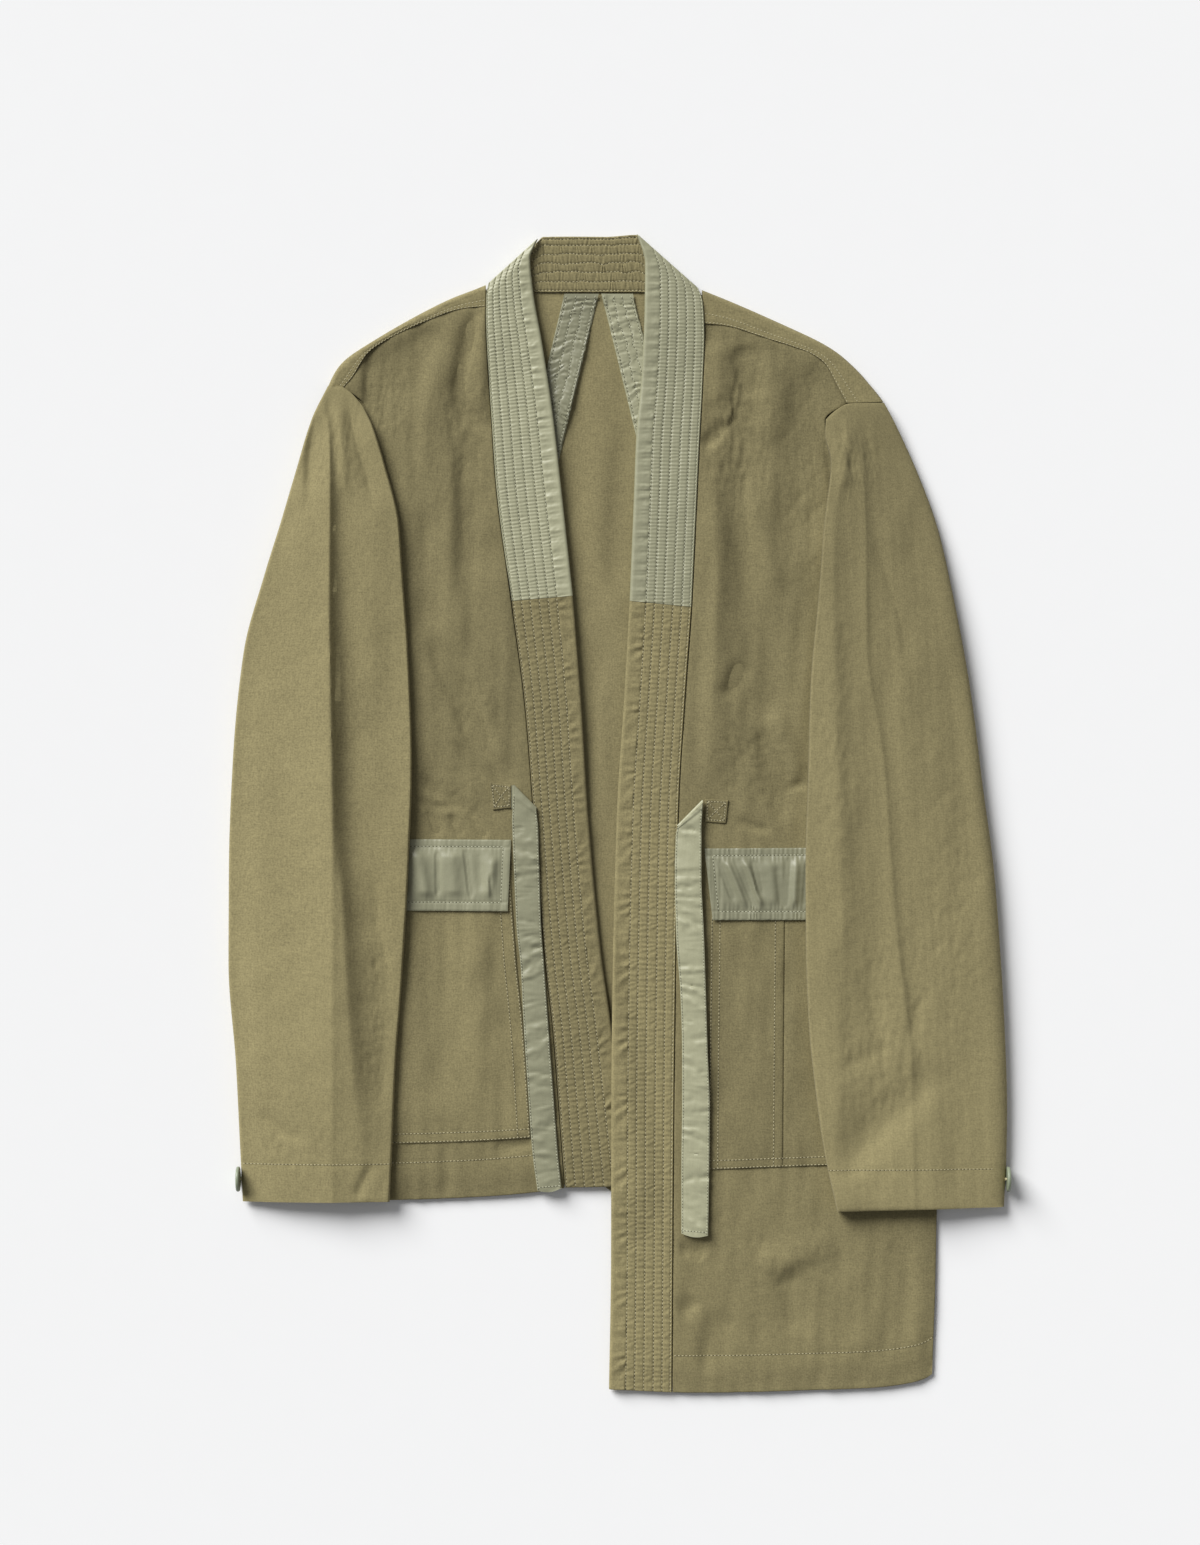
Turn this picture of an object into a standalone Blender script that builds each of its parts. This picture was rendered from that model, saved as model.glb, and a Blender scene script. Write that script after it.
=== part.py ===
"""A hanten-style wrap jacket of olive cloth and satin, laid flat with its front up.

X runs across the jacket and Y up towards the neck, as seen from above. Z is height above the
surface it lies on. The origin is on that surface, below the middle of the jacket. Lengths in the
tables are millimetres. The short side is at -X, the long side at +X.

The pieces are built in the order in which they lie on each other: back, straps, bands, fronts,
pockets, flaps, tabs, ties, sleeves and buttons. Each one is a wall of cloth with an outer and an
inner face. A pocket or flap is made from points of its front panel, moved out. A tab, tie or
sleeve rests on the heights of what was laid before it.
"""
import math
from collections import namedtuple

import bpy
import numpy as np
from mathutils import Vector
from mathutils.bvhtree import BVHTree

MM = 0.001
SEAM = 0.3               # clearance between pieces that are sewn together or lie on each other
BAND_SEAM = 0.5          # clearance beside a band, whose straight runs are the longer ones
CLOTH = 2.0              # wall of the main cloth
BAND_GROOVE = 2.4        # quilted band, at a row of stitches
BAND_CROWN = 3.2         # quilted band, between two rows
POCKET_CLOTH = 1.5
FLAP_CLOTH = 1.6
TAB_CLOTH = 1.2
STRAP_CLOTH = 1.2
TIE_CLOTH = 1.2

FRONT_TOP = 6.6          # top face of a front panel, away from its edges
SIDE_DROP = 2.3          # how far a front comes down to the back at its side seam
SIDE_RUN = 16.0
HEM_DROP = 1.8           # and at its hem
HEM_RUN = 22.0
LOWEST_TOP = 4.3         # top face of a front where it lies on the back
BAND_UNDER = 4.4         # underside of a band
NECK_LIFT = 2.0          # extra height of the band where it turns over at the neck
SHOULDER_TOP = 7.5       # top face of the back where it has turned over the shoulder
NECK_SEAM_Y = 417.5
LAP_LIFT = 3.5           # extra height of the long band where it laps over the short one
LAP_RUN = 14.0           # how far that height takes to fall away
BAND_AT_HEM = 2.8        # underside of a band at its hem
BAND_HEM_RUN = 26.0
NECK_FROM_Y = 340.0      # where a band begins to rise towards the neck
NECK_RUN = 60.0
TURN_DROP = 2.0          # how far the top of a band comes down where it turns over at the neck
SHOULDER_REACH = 170.0   # how far below the shoulder the rows of a front follow its seam
HEM_REACH = 120.0        # how far above the hem they follow the hem
FRONT_FALL = 30.0
TIE_BULGE = 0.9          # how far a tie stands out at its fold
TIE_ROWS = 15
TIE_GAP = 0.2            # extra clearance below a hanging tie
SLEEVE_GAP = 0.1         # extra clearance below a sleeve
SLEEVE_LIFT = 18.0       # how far beside a place the sleeve feels what lies under it
SLEEVE_SAG = 0.6         # how far the top of a sleeve may follow a dip below it
SLEEVE_HOLLOW = 0.35     # least room inside a sleeve
SLEEVE_ROUND = 4.0       # how far from its fold a sleeve begins to round over

Across = namedtuple("Across", "inner_x inner_y outer_x outer_y")
Row = namedtuple("Row", "inner_y outer_x outer_y")
Point = namedtuple("Point", "x y")
Fold = namedtuple("Fold", "height width path")
Reach = namedtuple("Reach", "x low high")
Strip = namedtuple("Strip", "left_x left_y right_x right_y")
Side = namedtuple("Side", "fold_line seam_line parts")
Wrap = namedtuple("Wrap", "centres towards ends")
Placed = namedtuple("Placed", "high low high_from high_to low_from low_to")
Cap = namedtuple("Cap", "cloth hollow level")
Disc = namedtuple("Disc", "distance depth")

# Sections across the collar band: inner edge, then the edge that is sewn to the front.
SHORT_BAND_LOWER = [
    Across(9.4, -298.7, -43.4, -299.5),
    Across(1.2, -232.0, -48.2, -233.9),
    Across(-7.0, -164.3, -53.0, -172.0),
    Across(-14.6, -110.0, -59.5, -115.0),
    Across(-25.0, 2.9, -68.6, 2.9),
    Across(-30.6, 92.5, -75.0, 84.0),
    Across(-37.0, 174.0, -86.2, 170.0),
]
SHORT_BAND_UPPER = [
    Across(-37.0, 174.3, -86.2, 170.3),
    Across(-47.4, 270.0, -98.4, 262.0),
    Across(-53.4, 322.0, -102.1, 315.0),
    Across(-61.8, 377.0, -105.4, 366.0),
    Across(-69.0, 419.0, -106.6, 398.0),
    Across(-71.2, 444.0, -106.4, 413.0),
    Across(-63.4, 462.6, -104.6, 424.5),
]
LONG_BAND_LOWER = [
    Across(-8.2, -461.1, 42.2, -463.5),
    Across(-6.6, -357.0, 42.8, -357.0),
    Across(-6.4, -229.0, 43.8, -229.0),
    Across(-5.5, -142.0, 45.0, -133.0),
    Across(-1.8, 2.9, 47.2, -3.0),
    Across(3.8, 91.0, 52.3, 87.0),
    Across(8.3, 170.0, 58.0, 165.2),
]
LONG_BAND_UPPER = [
    Across(8.3, 170.3, 58.0, 165.5),
    Across(11.6, 251.0, 61.8, 246.0),
    Across(13.6, 302.0, 64.2, 296.0),
    Across(18.0, 352.0, 66.8, 342.0),
    Across(20.3, 406.0, 68.2, 383.0),
    Across(20.6, 440.0, 67.0, 408.0),
    Across(14.2, 463.9, 63.2, 420.5),
]
# Sections across a front: where each leaves the band seam, and where it meets the armhole or side.
SHORT_FRONT = [
    Row(406.6, -221.1, 341.6),
    Row(372.0, -203.2, 324.8),
    Row(335.0, -205.8, 299.0),
    Row(280.0, -215.4, 251.0),
    Row(225.0, -235.4, 203.0),
    Row(150.0, -273.0, 139.0),
    Row(22.0, -273.5, 22.0),
    Row(-130.0, -273.5, -130.0),
    Row(-260.0, -273.0, -268.0),
    Row(-299.8, -273.0, -309.5),
]
LONG_FRONT = [
    Row(392.7, 182.4, 328.6),
    Row(360.0, 164.9, 314.6),
    Row(330.0, 168.6, 291.0),
    Row(280.0, 180.6, 247.0),
    Row(225.0, 200.6, 203.0),
    Row(150.0, 253.4, 131.0),
    Row(11.0, 255.0, 11.0),
    Row(-130.0, 255.0, -130.0),
    Row(-290.0, 254.8, -282.0),
    Row(-380.0, 253.4, -372.0),
    Row(-463.5, 250.7, -449.0),
]
SHORT_SHOULDER_SEAM = [
    Point(-107.2, 406.6), Point(-129.8, 404.6), Point(-151.8, 396.1), Point(-175.4, 386.1),
    Point(-200.6, 371.3), Point(-208.0, 360.0), Point(-213.5, 350.0), Point(-221.1, 341.6),
]
LONG_SHOULDER_SEAM = [
    Point(68.5, 392.7), Point(89.2, 391.0), Point(115.8, 381.6), Point(139.5, 374.2),
    Point(154.2, 368.8), Point(166.2, 360.4), Point(173.5, 345.0), Point(182.4, 328.6),
]
# The fold line of each shoulder, where the back turns over to the front.
SHORT_SHOULDER_FOLD = [
    Point(-106.9, 423.4), Point(-117.8, 418.9), Point(-137.0, 411.9), Point(-169.8, 394.9),
    Point(-202.1, 375.7), Point(-220.2, 363.7), Point(-228.2, 353.3), Point(-233.0, 342.6),
]
LONG_SHOULDER_FOLD = [
    Point(68.4, 418.6), Point(93.4, 408.5), Point(130.6, 392.0), Point(169.1, 374.2),
    Point(189.8, 356.5), Point(204.6, 339.0), Point(209.0, 333.5), Point(211.6, 329.6),
]
SHORT_HEM = [
    Point(-43.7, -299.8), Point(-65.8, -303.5), Point(-113.0, -307.5), Point(-183.4, -309.9),
    Point(-273.0, -309.5),
]
LONG_HEM = [
    Point(42.5, -463.7), Point(84.6, -464.0), Point(143.0, -462.2), Point(191.8, -460.8),
    Point(220.6, -458.7), Point(243.8, -453.9), Point(250.7, -449.0),
]
# The back: both sides from the armhole down, and the hem, which steps down under the long band.
BACK_SHORT_EDGE = [
    Point(-231.0, 338.0), Point(-236.0, 300.0), Point(-246.0, 220.0), Point(-272.2, 139.0),
    Point(-272.6, -130.0), Point(-272.2, -306.0),
]
BACK_LONG_EDGE = [
    Point(209.4, 326.0), Point(216.0, 290.0), Point(226.0, 215.0), Point(252.6, 131.0),
    Point(254.2, -130.0), Point(254.0, -300.0), Point(249.9, -446.0),
]
BACK_HEM = [
    Point(-272.2, -306.0), Point(-150.0, -305.5), Point(-50.0, -298.0), Point(-6.0, -295.0),
    Point(2.0, -330.0), Point(8.0, -420.0), Point(40.0, -459.5), Point(190.0, -457.0),
    Point(249.9, -446.0),
]
# Sections across the neck band, from the neck seam up to its top edge.
NECK_BAND = [
    Reach(-97.0, 417.8, 428.0), Reach(-80.0, 417.8, 444.6), Reach(-66.0, 417.8, 458.0),
    Reach(-58.0, 417.8, 463.2), Reach(-36.0, 417.8, 462.4), Reach(-11.0, 417.8, 462.4),
    Reach(14.2, 417.8, 464.0), Reach(23.0, 417.8, 455.6), Reach(38.0, 417.8, 442.0),
    Reach(55.0, 417.8, 425.8),
]
SHORT_STRAP = [
    Strip(-44.0, 416.4, -16.4, 416.4), Strip(-56.4, 364.7, -28.7, 364.7),
    Strip(-72.4, 298.0, -44.8, 298.0), Strip(-88.5, 231.0, -61.0, 231.0),
]
LONG_STRAP = [
    Strip(-14.4, 416.4, 11.0, 416.4), Strip(-1.6, 364.7, 23.8, 364.7),
    Strip(14.6, 298.0, 40.2, 298.0), Strip(31.0, 231.0, 56.6, 231.0),
]
SHORT_FOLDS = [
    Fold(-1.4, 12.0, [Point(-116, 405), Point(-118, 391), Point(-130, 334), Point(-122, 308)]),
    Fold(-1.1, 20.0, [Point(-149, 383), Point(-184, 339)]),
    Fold(0.8, 18.0, [Point(-137, 290), Point(-128, 205), Point(-131, 120)]),
    Fold(-1.2, 13.0, [Point(-143, 139), Point(-136, 111), Point(-109, 32), Point(-92, 23)]),
    Fold(0.6, 20.0, [Point(-96, 180), Point(-100, 90)]),
    Fold(-0.6, 20.0, [Point(-215, 100), Point(-205, -60)]),
]
LONG_FOLDS = [
    Fold(-1.2, 12.0, [Point(62, 288), Point(85, 314)]),
    Fold(-1.2, 16.0, [Point(100, 291), Point(117, 243), Point(125, 203)]),
    Fold(-1.5, 18.0, [Point(154, 350), Point(145, 251)]),
    Fold(0.9, 20.0, [Point(96, 374), Point(104, 315)]),
    Fold(-0.9, 18.0, [Point(94, 221), Point(94, 91)]),
    Fold(-0.9, 12.0, [Point(101, 123), Point(81, 91)]),
    Fold(-0.9, 12.0, [Point(113, 75), Point(137, 19)]),
    Fold(0.9, 16.0, [Point(105, -353), Point(133, -361), Point(173, -335)]),
    Fold(-0.8, 18.0, [Point(80, -395), Point(66, -440)]),
]
# Sections across a sleeve from cap to cuff. The inner edge is the fold next to the front.
SHORT_SLEEVE = [
    Across(-204.1, 323.4, -233.0, 340.6),
    Across(-197.6, 311.0, -246.2, 314.0),
    Across(-187.0, 278.0, -258.2, 275.0),
    Across(-175.8, 231.7, -270.6, 232.5),
    Across(-173.0, 191.7, -282.6, 193.3),
    Across(-168.6, 128.5, -300.2, 128.5),
    Across(-165.4, 39.0, -309.0, 43.0),
    Across(-167.8, -35.5, -312.2, -37.0),
    Across(-173.4, -133.0, -312.6, -120.0),
    Across(-178.6, -202.7, -306.6, -199.5),
    Across(-181.2, -265.9, -303.4, -265.9),
    Across(-183.4, -309.6, -301.5, -310.3),
]
LONG_SLEEVE = [
    Across(165.2, 313.0, 211.8, 326.4),
    Across(164.6, 302.0, 220.3, 311.5),
    Across(169.0, 279.7, 237.1, 276.5),
    Across(163.4, 228.5, 255.0, 227.0),
    Across(159.8, 180.5, 264.6, 184.5),
    Across(152.6, 99.0, 280.6, 99.0),
    Across(150.4, 19.0, 291.0, 19.0),
    Across(148.4, -45.0, 299.5, -45.0),
    Across(148.8, -105.0, 304.2, -105.0),
    Across(151.0, -165.0, 307.8, -165.0),
    Across(158.6, -237.0, 310.2, -237.0),
    Across(165.0, -277.0, 309.6, -277.0),
    Across(173.8, -316.9, 307.8, -314.2),
]
SHORT_SLEEVE_FOLDS = [
    Fold(1.5, 26.0, [Point(-222, 300), Point(-224, 60), Point(-228, -190), Point(-228, -312)]),
    Fold(-1.2, 16.0, [Point(-205, -60), Point(-210, -140), Point(-208, -240)]),
    Fold(-1.0, 12.0, [Point(-250, 302), Point(-257, 266)]),
]
LONG_SLEEVE_FOLDS = [
    Fold(1.4, 22.0, [Point(196, 300), Point(198, 110), Point(212, 0), Point(222, -110),
                     Point(232, -225)]),
    Fold(-1.4, 15.0, [Point(178, 250), Point(182, 90), Point(180, -60), Point(186, -160)]),
    Fold(-0.9, 12.0, [Point(186, -270), Point(218, -236)]),
]
# The first sections of a sleeve, gathered into the armhole: wall, room inside and lowest level.
SLEEVE_CAP = [Cap(1.1, 0.4, 6.2), Cap(1.4, 0.8, 6.6), Cap(CLOTH, 1.4, 0.0), Cap(CLOTH, 2.2, 0.0)]
# The columns across a sleeve and its rows from cap to cuff, as parts of its width and length.
SLEEVE_COLUMNS = np.array([0.0, 0.012, 0.04, 0.1, 0.22, 0.36, 0.5, 0.64, 0.78, 0.9, 0.96, 0.988,
                           1.0])
SLEEVE_ROWS = np.array([0.0, 0.025, 0.055, 0.1, 0.16, 0.23, 0.31, 0.4, 0.49, 0.58, 0.67, 0.76,
                        0.85, 0.93, 1.0])
# The columns of each front, as parts of the way from the band seam to the side.
SHORT_FRONT_PARTS = [0.0, 0.055, 0.106, 0.19, 0.28, 0.37, 0.46, 0.55, 0.64, 0.73, 0.82, 0.91,
                     0.96, 1.0]
LONG_FRONT_PARTS = [0.0, 0.065, 0.13, 0.2, 0.28, 0.36, 0.41, 0.48, 0.56, 0.64, 0.73, 0.82, 0.91,
                    0.96, 1.0]
# The levels of each front's rows, close together where a flap lies on them.
SHORT_FRONT_LEVELS = [406.6, 389.0, 372.0, 353.0, 335.0, 308.0, 280.0, 252.0, 225.0, 187.0, 150.0,
                      118.0, 86.0, 54.0, 22.0, -2.0, -21.0, -40.0, -59.0, -78.0, -112.0, -150.0,
                      -188.0, -225.0, -257.0, -280.0, -299.8]
LONG_FRONT_LEVELS = [392.7, 376.0, 360.0, 345.0, 330.0, 305.0, 280.0, 252.0, 225.0, 187.0, 150.0,
                     115.0, 80.0, 45.0, 11.0, -8.0, -28.0, -47.0, -66.0, -85.0, -120.0, -160.0,
                     -200.0, -245.0, -286.0, -325.0, -365.0, -405.0, -440.0, -463.5]
# Pockets and flaps: upper and lower level, and both ends of their upper and lower edge as parts of
# the way from the band seam to the side.
SHORT_POCKET = Placed(-40.0, -257.0, 0.106, 0.64, 0.106, 0.64)
LONG_POCKET = Placed(-47.0, -286.0, 0.13, 0.64, 0.13, 0.64)
SHORT_FLAP = Placed(-21.0, -78.0, 0.094, 0.60, 0.124, 0.60)
LONG_FLAP = Placed(-28.0, -85.0, 0.101, 0.57, 0.136, 0.57)
FLAP_COLUMNS = 17
SHORT_TAB = [Point(-103.8, 25.0), Point(-86.4, 23.0), Point(-86.4, 4.5), Point(-101.2, 2.9)]
LONG_TAB = [Point(68.6, 11.7), Point(87.4, 10.9), Point(85.4, -7.8), Point(68.6, -6.7)]
# Both edges of each tie below its diagonal fold.
SHORT_TIE = [
    Strip(-85.8, -6.0, -64.8, -10.0), Strip(-84.4, -40.0, -64.0, -40.0),
    Strip(-82.2, -90.0, -62.4, -90.0), Strip(-78.8, -123.0, -60.0, -123.0),
    Strip(-76.7, -165.0, -57.0, -165.0), Strip(-73.0, -222.0, -52.8, -222.0),
    Strip(-69.6, -270.0, -49.2, -270.0), Strip(-65.5, -301.3, -46.2, -299.4),
]
LONG_TIE = [
    Strip(45.2, -17.0, 65.6, -10.0), Strip(44.4, -45.0, 65.6, -45.0),
    Strip(45.6, -100.0, 67.8, -100.0), Strip(48.8, -143.0, 69.2, -143.0),
    Strip(50.2, -190.0, 70.6, -190.0), Strip(50.2, -233.0, 72.2, -233.0),
    Strip(49.6, -285.0, 71.8, -285.0), Strip(49.6, -335.5, 70.9, -336.8),
]

# Stitched channels across a band: the strip beside the inner edge is twice as wide as the rest.
CHANNELS = [0.0, 0.29, 0.43, 0.575, 0.715, 0.86, 1.0]
NECK_CHANNELS = [0.0, 0.17, 0.33, 0.5, 0.66, 0.83, 1.0]

# A cuff button, from the middle of its outer face round to the middle of its back.
BUTTON_RADIUS = 10.0
BUTTON_THICK = 2.9
BUTTON_SIDES = 28
BUTTON_LEAN = 0.5
BUTTON_GAP = 0.3
BUTTON_OUTLINE = [
    Disc(0.0, 0.9), Disc(6.4, 0.9), Disc(7.2, 0.0), Disc(9.2, 0.0), Disc(10.0, 0.8),
    Disc(10.0, 2.1), Disc(9.2, 2.9), Disc(0.0, 2.9),
]

Cloth = namedtuple("Cloth", "color roughness")
OLIVE = Cloth((0.262, 0.224, 0.111), 0.85)
SATIN = Cloth((0.301, 0.296, 0.188), 0.5)
BUTTON = Cloth((0.33, 0.40, 0.28), 0.45)


def clear_scene():
    for thing in list(bpy.data.objects):
        bpy.data.objects.remove(thing)


def material(name, cloth):
    made = bpy.data.materials.get(name)
    if made is None:
        made = bpy.data.materials.new(name)
        made.use_nodes = True
        shader = made.node_tree.nodes["Principled BSDF"]
        shader.inputs["Base Color"].default_value = (*cloth.color, 1.0)
        shader.inputs["Roughness"].default_value = cloth.roughness
        shader.inputs["Metallic"].default_value = 0.0
    return made


def ease(value):
    """Smooth step from 0 to 1."""
    value = np.clip(value, 0.0, 1.0)
    return value * value * (3.0 - 2.0 * value)


def smooth(rows, key, at):
    """Rows of a table read between its rows by a monotone cubic in one named column."""
    table = np.array(rows, dtype=float)
    column = rows[0]._fields.index(key)
    if table[0, column] > table[-1, column]:
        table = table[::-1]
    keys = table[:, column]
    step = np.diff(keys)[:, None]
    rise = np.diff(table, axis=0) / step
    slope = np.zeros_like(table)
    slope[0] = rise[0]
    slope[-1] = rise[-1]
    product = rise[:-1] * rise[1:]
    total = rise[:-1] + rise[1:]
    even = np.where(np.abs(total) > 1e-9, 2.0 * product / np.where(total == 0, 1.0, total), 0.0)
    slope[1:-1] = np.where(product > 0.0, even, 0.0)
    at = np.clip(np.asarray(at, dtype=float), keys[0], keys[-1])
    span = np.clip(np.searchsorted(keys, at) - 1, 0, len(keys) - 2)
    width = step[span, 0]
    part = ((at - keys[span]) / width)[:, None]
    width = width[:, None]
    return ((1 + 2 * part) * (1 - part) ** 2 * table[span]
            + part * (1 - part) ** 2 * width * slope[span]
            + part ** 2 * (3 - 2 * part) * table[span + 1]
            + part ** 2 * (part - 1) * width * slope[span + 1])


def along(points, parts):
    """Points at the given parts of the length of an open path."""
    path = np.array(points, dtype=float)
    lengths = np.concatenate([[0.0], np.cumsum(np.linalg.norm(np.diff(path, axis=0), axis=1))])
    wanted = np.asarray(parts) * lengths[-1]
    return np.stack([np.interp(wanted, lengths, path[:, axis]) for axis in (0, 1)], axis=1)


def fold_height(folds, x, y):
    """Height that the folds add at points x, y: a ridge or trough that fades at both its ends."""
    total = np.zeros_like(x, dtype=float)
    for fold in folds:
        path = np.array(fold.path, dtype=float)
        starts = path[:-1]
        legs = np.diff(path, axis=0)
        sizes = np.linalg.norm(legs, axis=1)
        before = np.concatenate([[0.0], np.cumsum(sizes)])
        best = np.full(x.shape, np.inf)
        place = np.zeros(x.shape)
        for number, (start, leg, size) in enumerate(zip(starts, legs, sizes)):
            part = ((x - start[0]) * leg[0] + (y - start[1]) * leg[1]) / size ** 2
            part = np.clip(part, 0.0, 1.0)
            away = np.hypot(x - start[0] - part * leg[0], y - start[1] - part * leg[1])
            nearer = away < best
            best = np.where(nearer, away, best)
            place = np.where(nearer, (before[number] + part * size) / before[-1], place)
        fade = ease(place / 0.25) * ease((1.0 - place) / 0.25) * 0.7 + 0.3
        total += fold.height * fade * np.exp(-(best / fold.width) ** 2)
    return total


def volume(points, polygons):
    """Signed volume inside the polygons, negative where they point inwards."""
    total = 0.0
    for polygon in polygons:
        first = points[polygon[0]]
        for second, third in zip(polygon[1:], polygon[2:]):
            total += float(np.dot(first, np.cross(points[second], points[third]))) / 6.0
    return total


def wall(name, outer, inner, faces, cloth_name, cloth):
    """A closed wall of cloth: an outer and an inner face with a side along every free edge."""
    count = len(outer)
    edges = {}
    for face in faces:
        for start, end in zip(face, face[1:] + face[:1]):
            edges[(start, end)] = edges.get((start, end), 0) + 1
    polygons = [list(face) for face in faces]
    polygons += [[count + corner for corner in reversed(face)] for face in faces]
    for start, end in edges:
        if (end, start) not in edges:
            polygons.append([end, start, count + start, count + end])
    points = np.concatenate([np.asarray(outer), np.asarray(inner)]) * MM
    if volume(points, polygons) < 0.0:
        polygons = [polygon[::-1] for polygon in polygons]
    used = sorted({corner for polygon in polygons for corner in polygon})
    renumber = {old: new for new, old in enumerate(used)}
    mesh = bpy.data.meshes.new(name)
    mesh.from_pydata([points[old] for old in used], [],
                     [[renumber[corner] for corner in polygon] for polygon in polygons])
    mesh.materials.append(material(cloth_name, cloth))
    mesh.shade_smooth()
    mesh.set_sharp_from_angle(angle=math.radians(35.0))
    made = bpy.data.objects.new(name, mesh)
    bpy.context.scene.collection.objects.link(made)
    return made


def grid_faces(rows, columns):
    """Quads of a grid stored row by row."""
    faces = []
    for row in range(rows - 1):
        for column in range(columns - 1):
            first = row * columns + column
            faces.append([first, first + 1, first + columns + 1, first + columns])
    return faces


def sheet(name, grid, top, under, cloth_name, cloth):
    """A wall over a grid of x, y places, from its height under to its height top."""
    rows, columns = grid.shape[:2]
    flat = grid.reshape(-1, 2)
    outer = np.column_stack([flat, np.ravel(top)])
    inner = np.column_stack([flat, np.ravel(under)])
    return wall(name, outer, inner, grid_faces(rows, columns), cloth_name, cloth)


class Pile:
    """The height of everything laid so far, at points one cell apart."""

    CELL = 3.0
    HALF_X = 318.0
    HALF_Y = 471.0
    ABOVE = 60.0

    def __init__(self):
        self.xs = np.arange(-self.HALF_X, self.HALF_X + self.CELL, self.CELL)
        self.ys = np.arange(-self.HALF_Y, self.HALF_Y + self.CELL, self.CELL)
        self.tops = np.zeros((len(self.xs), len(self.ys)))

    def lay(self, made):
        mesh = made.data
        corners = [Vector(vertex.co) / MM for vertex in mesh.vertices]
        tree = BVHTree.FromPolygons(corners, [list(face.vertices) for face in mesh.polygons])
        low = [min(corner[axis] for corner in corners) for axis in (0, 1)]
        high = [max(corner[axis] for corner in corners) for axis in (0, 1)]
        for column in np.nonzero((self.xs >= low[0]) & (self.xs <= high[0]))[0]:
            for row in np.nonzero((self.ys >= low[1]) & (self.ys <= high[1]))[0]:
                start = Vector((self.xs[column], self.ys[row], self.ABOVE))
                hit = tree.ray_cast(start, Vector((0.0, 0.0, -1.0)))[0]
                if hit is not None:
                    self.tops[column, row] = max(self.tops[column, row], hit.z)
        return made

    def under(self, x, y, reach_x, reach_y):
        """Greatest height within reach of a point."""
        columns = np.abs(self.xs - x) <= reach_x + self.CELL
        rows = np.abs(self.ys - y) <= reach_y + self.CELL
        return float(self.tops[np.ix_(columns, rows)].max())


BACK_ROWS = 10
BACK_NECK_XS = (-98.0, -60.0, -20.0, 20.0, 56.0)
HEM_COLUMNS = 15         # columns of the back that end on its short hem
STEP_COLUMNS = 2         # and on the step between its two hems
SHOULDER_TURNS = (-50.0, 0.0, 50.0, 90.0)


def shoulder(side):
    """Where the back begins to turn over one shoulder, which way it turns and where it ends."""
    folds = along(side.fold_line, side.parts)
    seams = along(side.seam_line, side.parts)
    towards = seams - folds
    towards /= np.linalg.norm(towards, axis=1)[:, None]
    return Wrap(folds + towards * SHOULDER_TOP / 2.0, towards, seams - towards * SEAM)


def back_places(short_centres, long_centres):
    """The grid of the part of the back that lies flat."""
    neck = np.array([[x, NECK_SEAM_Y] for x in BACK_NECK_XS])
    upper = np.concatenate([short_centres, neck, long_centres])
    columns = len(upper)
    downs = np.linspace(0.0, 1.0, BACK_ROWS)
    lengths = np.concatenate([[0.0], np.cumsum(np.linalg.norm(np.diff(upper, axis=0), axis=1))])
    parts = lengths / lengths[-1]
    short_edge = along([tuple(short_centres[0])] + [tuple(p) for p in BACK_SHORT_EDGE], downs)
    long_edge = along([tuple(long_centres[-1])] + [tuple(p) for p in BACK_LONG_EDGE], downs)
    hem_short = along(BACK_HEM[:4], np.linspace(0.0, 1.0, HEM_COLUMNS))
    hem_step = along(BACK_HEM[3:7], np.linspace(0.0, 1.0, STEP_COLUMNS + 2))
    long_columns = columns - HEM_COLUMNS - STEP_COLUMNS
    hem_long = along(BACK_HEM[6:], np.linspace(0.0, 1.0, long_columns))
    hem = np.concatenate([hem_short, hem_step[1:-1], hem_long])
    places = np.zeros((BACK_ROWS, columns, 2))
    for row, down in enumerate(downs):
        level = (1.0 - down) * upper + down * hem
        ends = (1.0 - parts)[:, None] * (short_edge[row] - level[0])
        ends += parts[:, None] * (long_edge[row] - level[-1])
        places[row] = level + ends
    return places


def wrapped_row(wrap, number, turn):
    """Outer and inner point of the turned-over cloth, at one column and one angle."""
    radius = SHOULDER_TOP / 2.0
    inside = radius - CLOTH
    angle = math.radians(turn)
    shift = -wrap.towards[number] * math.cos(angle)
    out = (*(wrap.centres[number] + shift * radius), radius * (1 + math.sin(angle)))
    inn = (*(wrap.centres[number] + shift * inside), radius + inside * math.sin(angle))
    return out, inn


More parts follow.
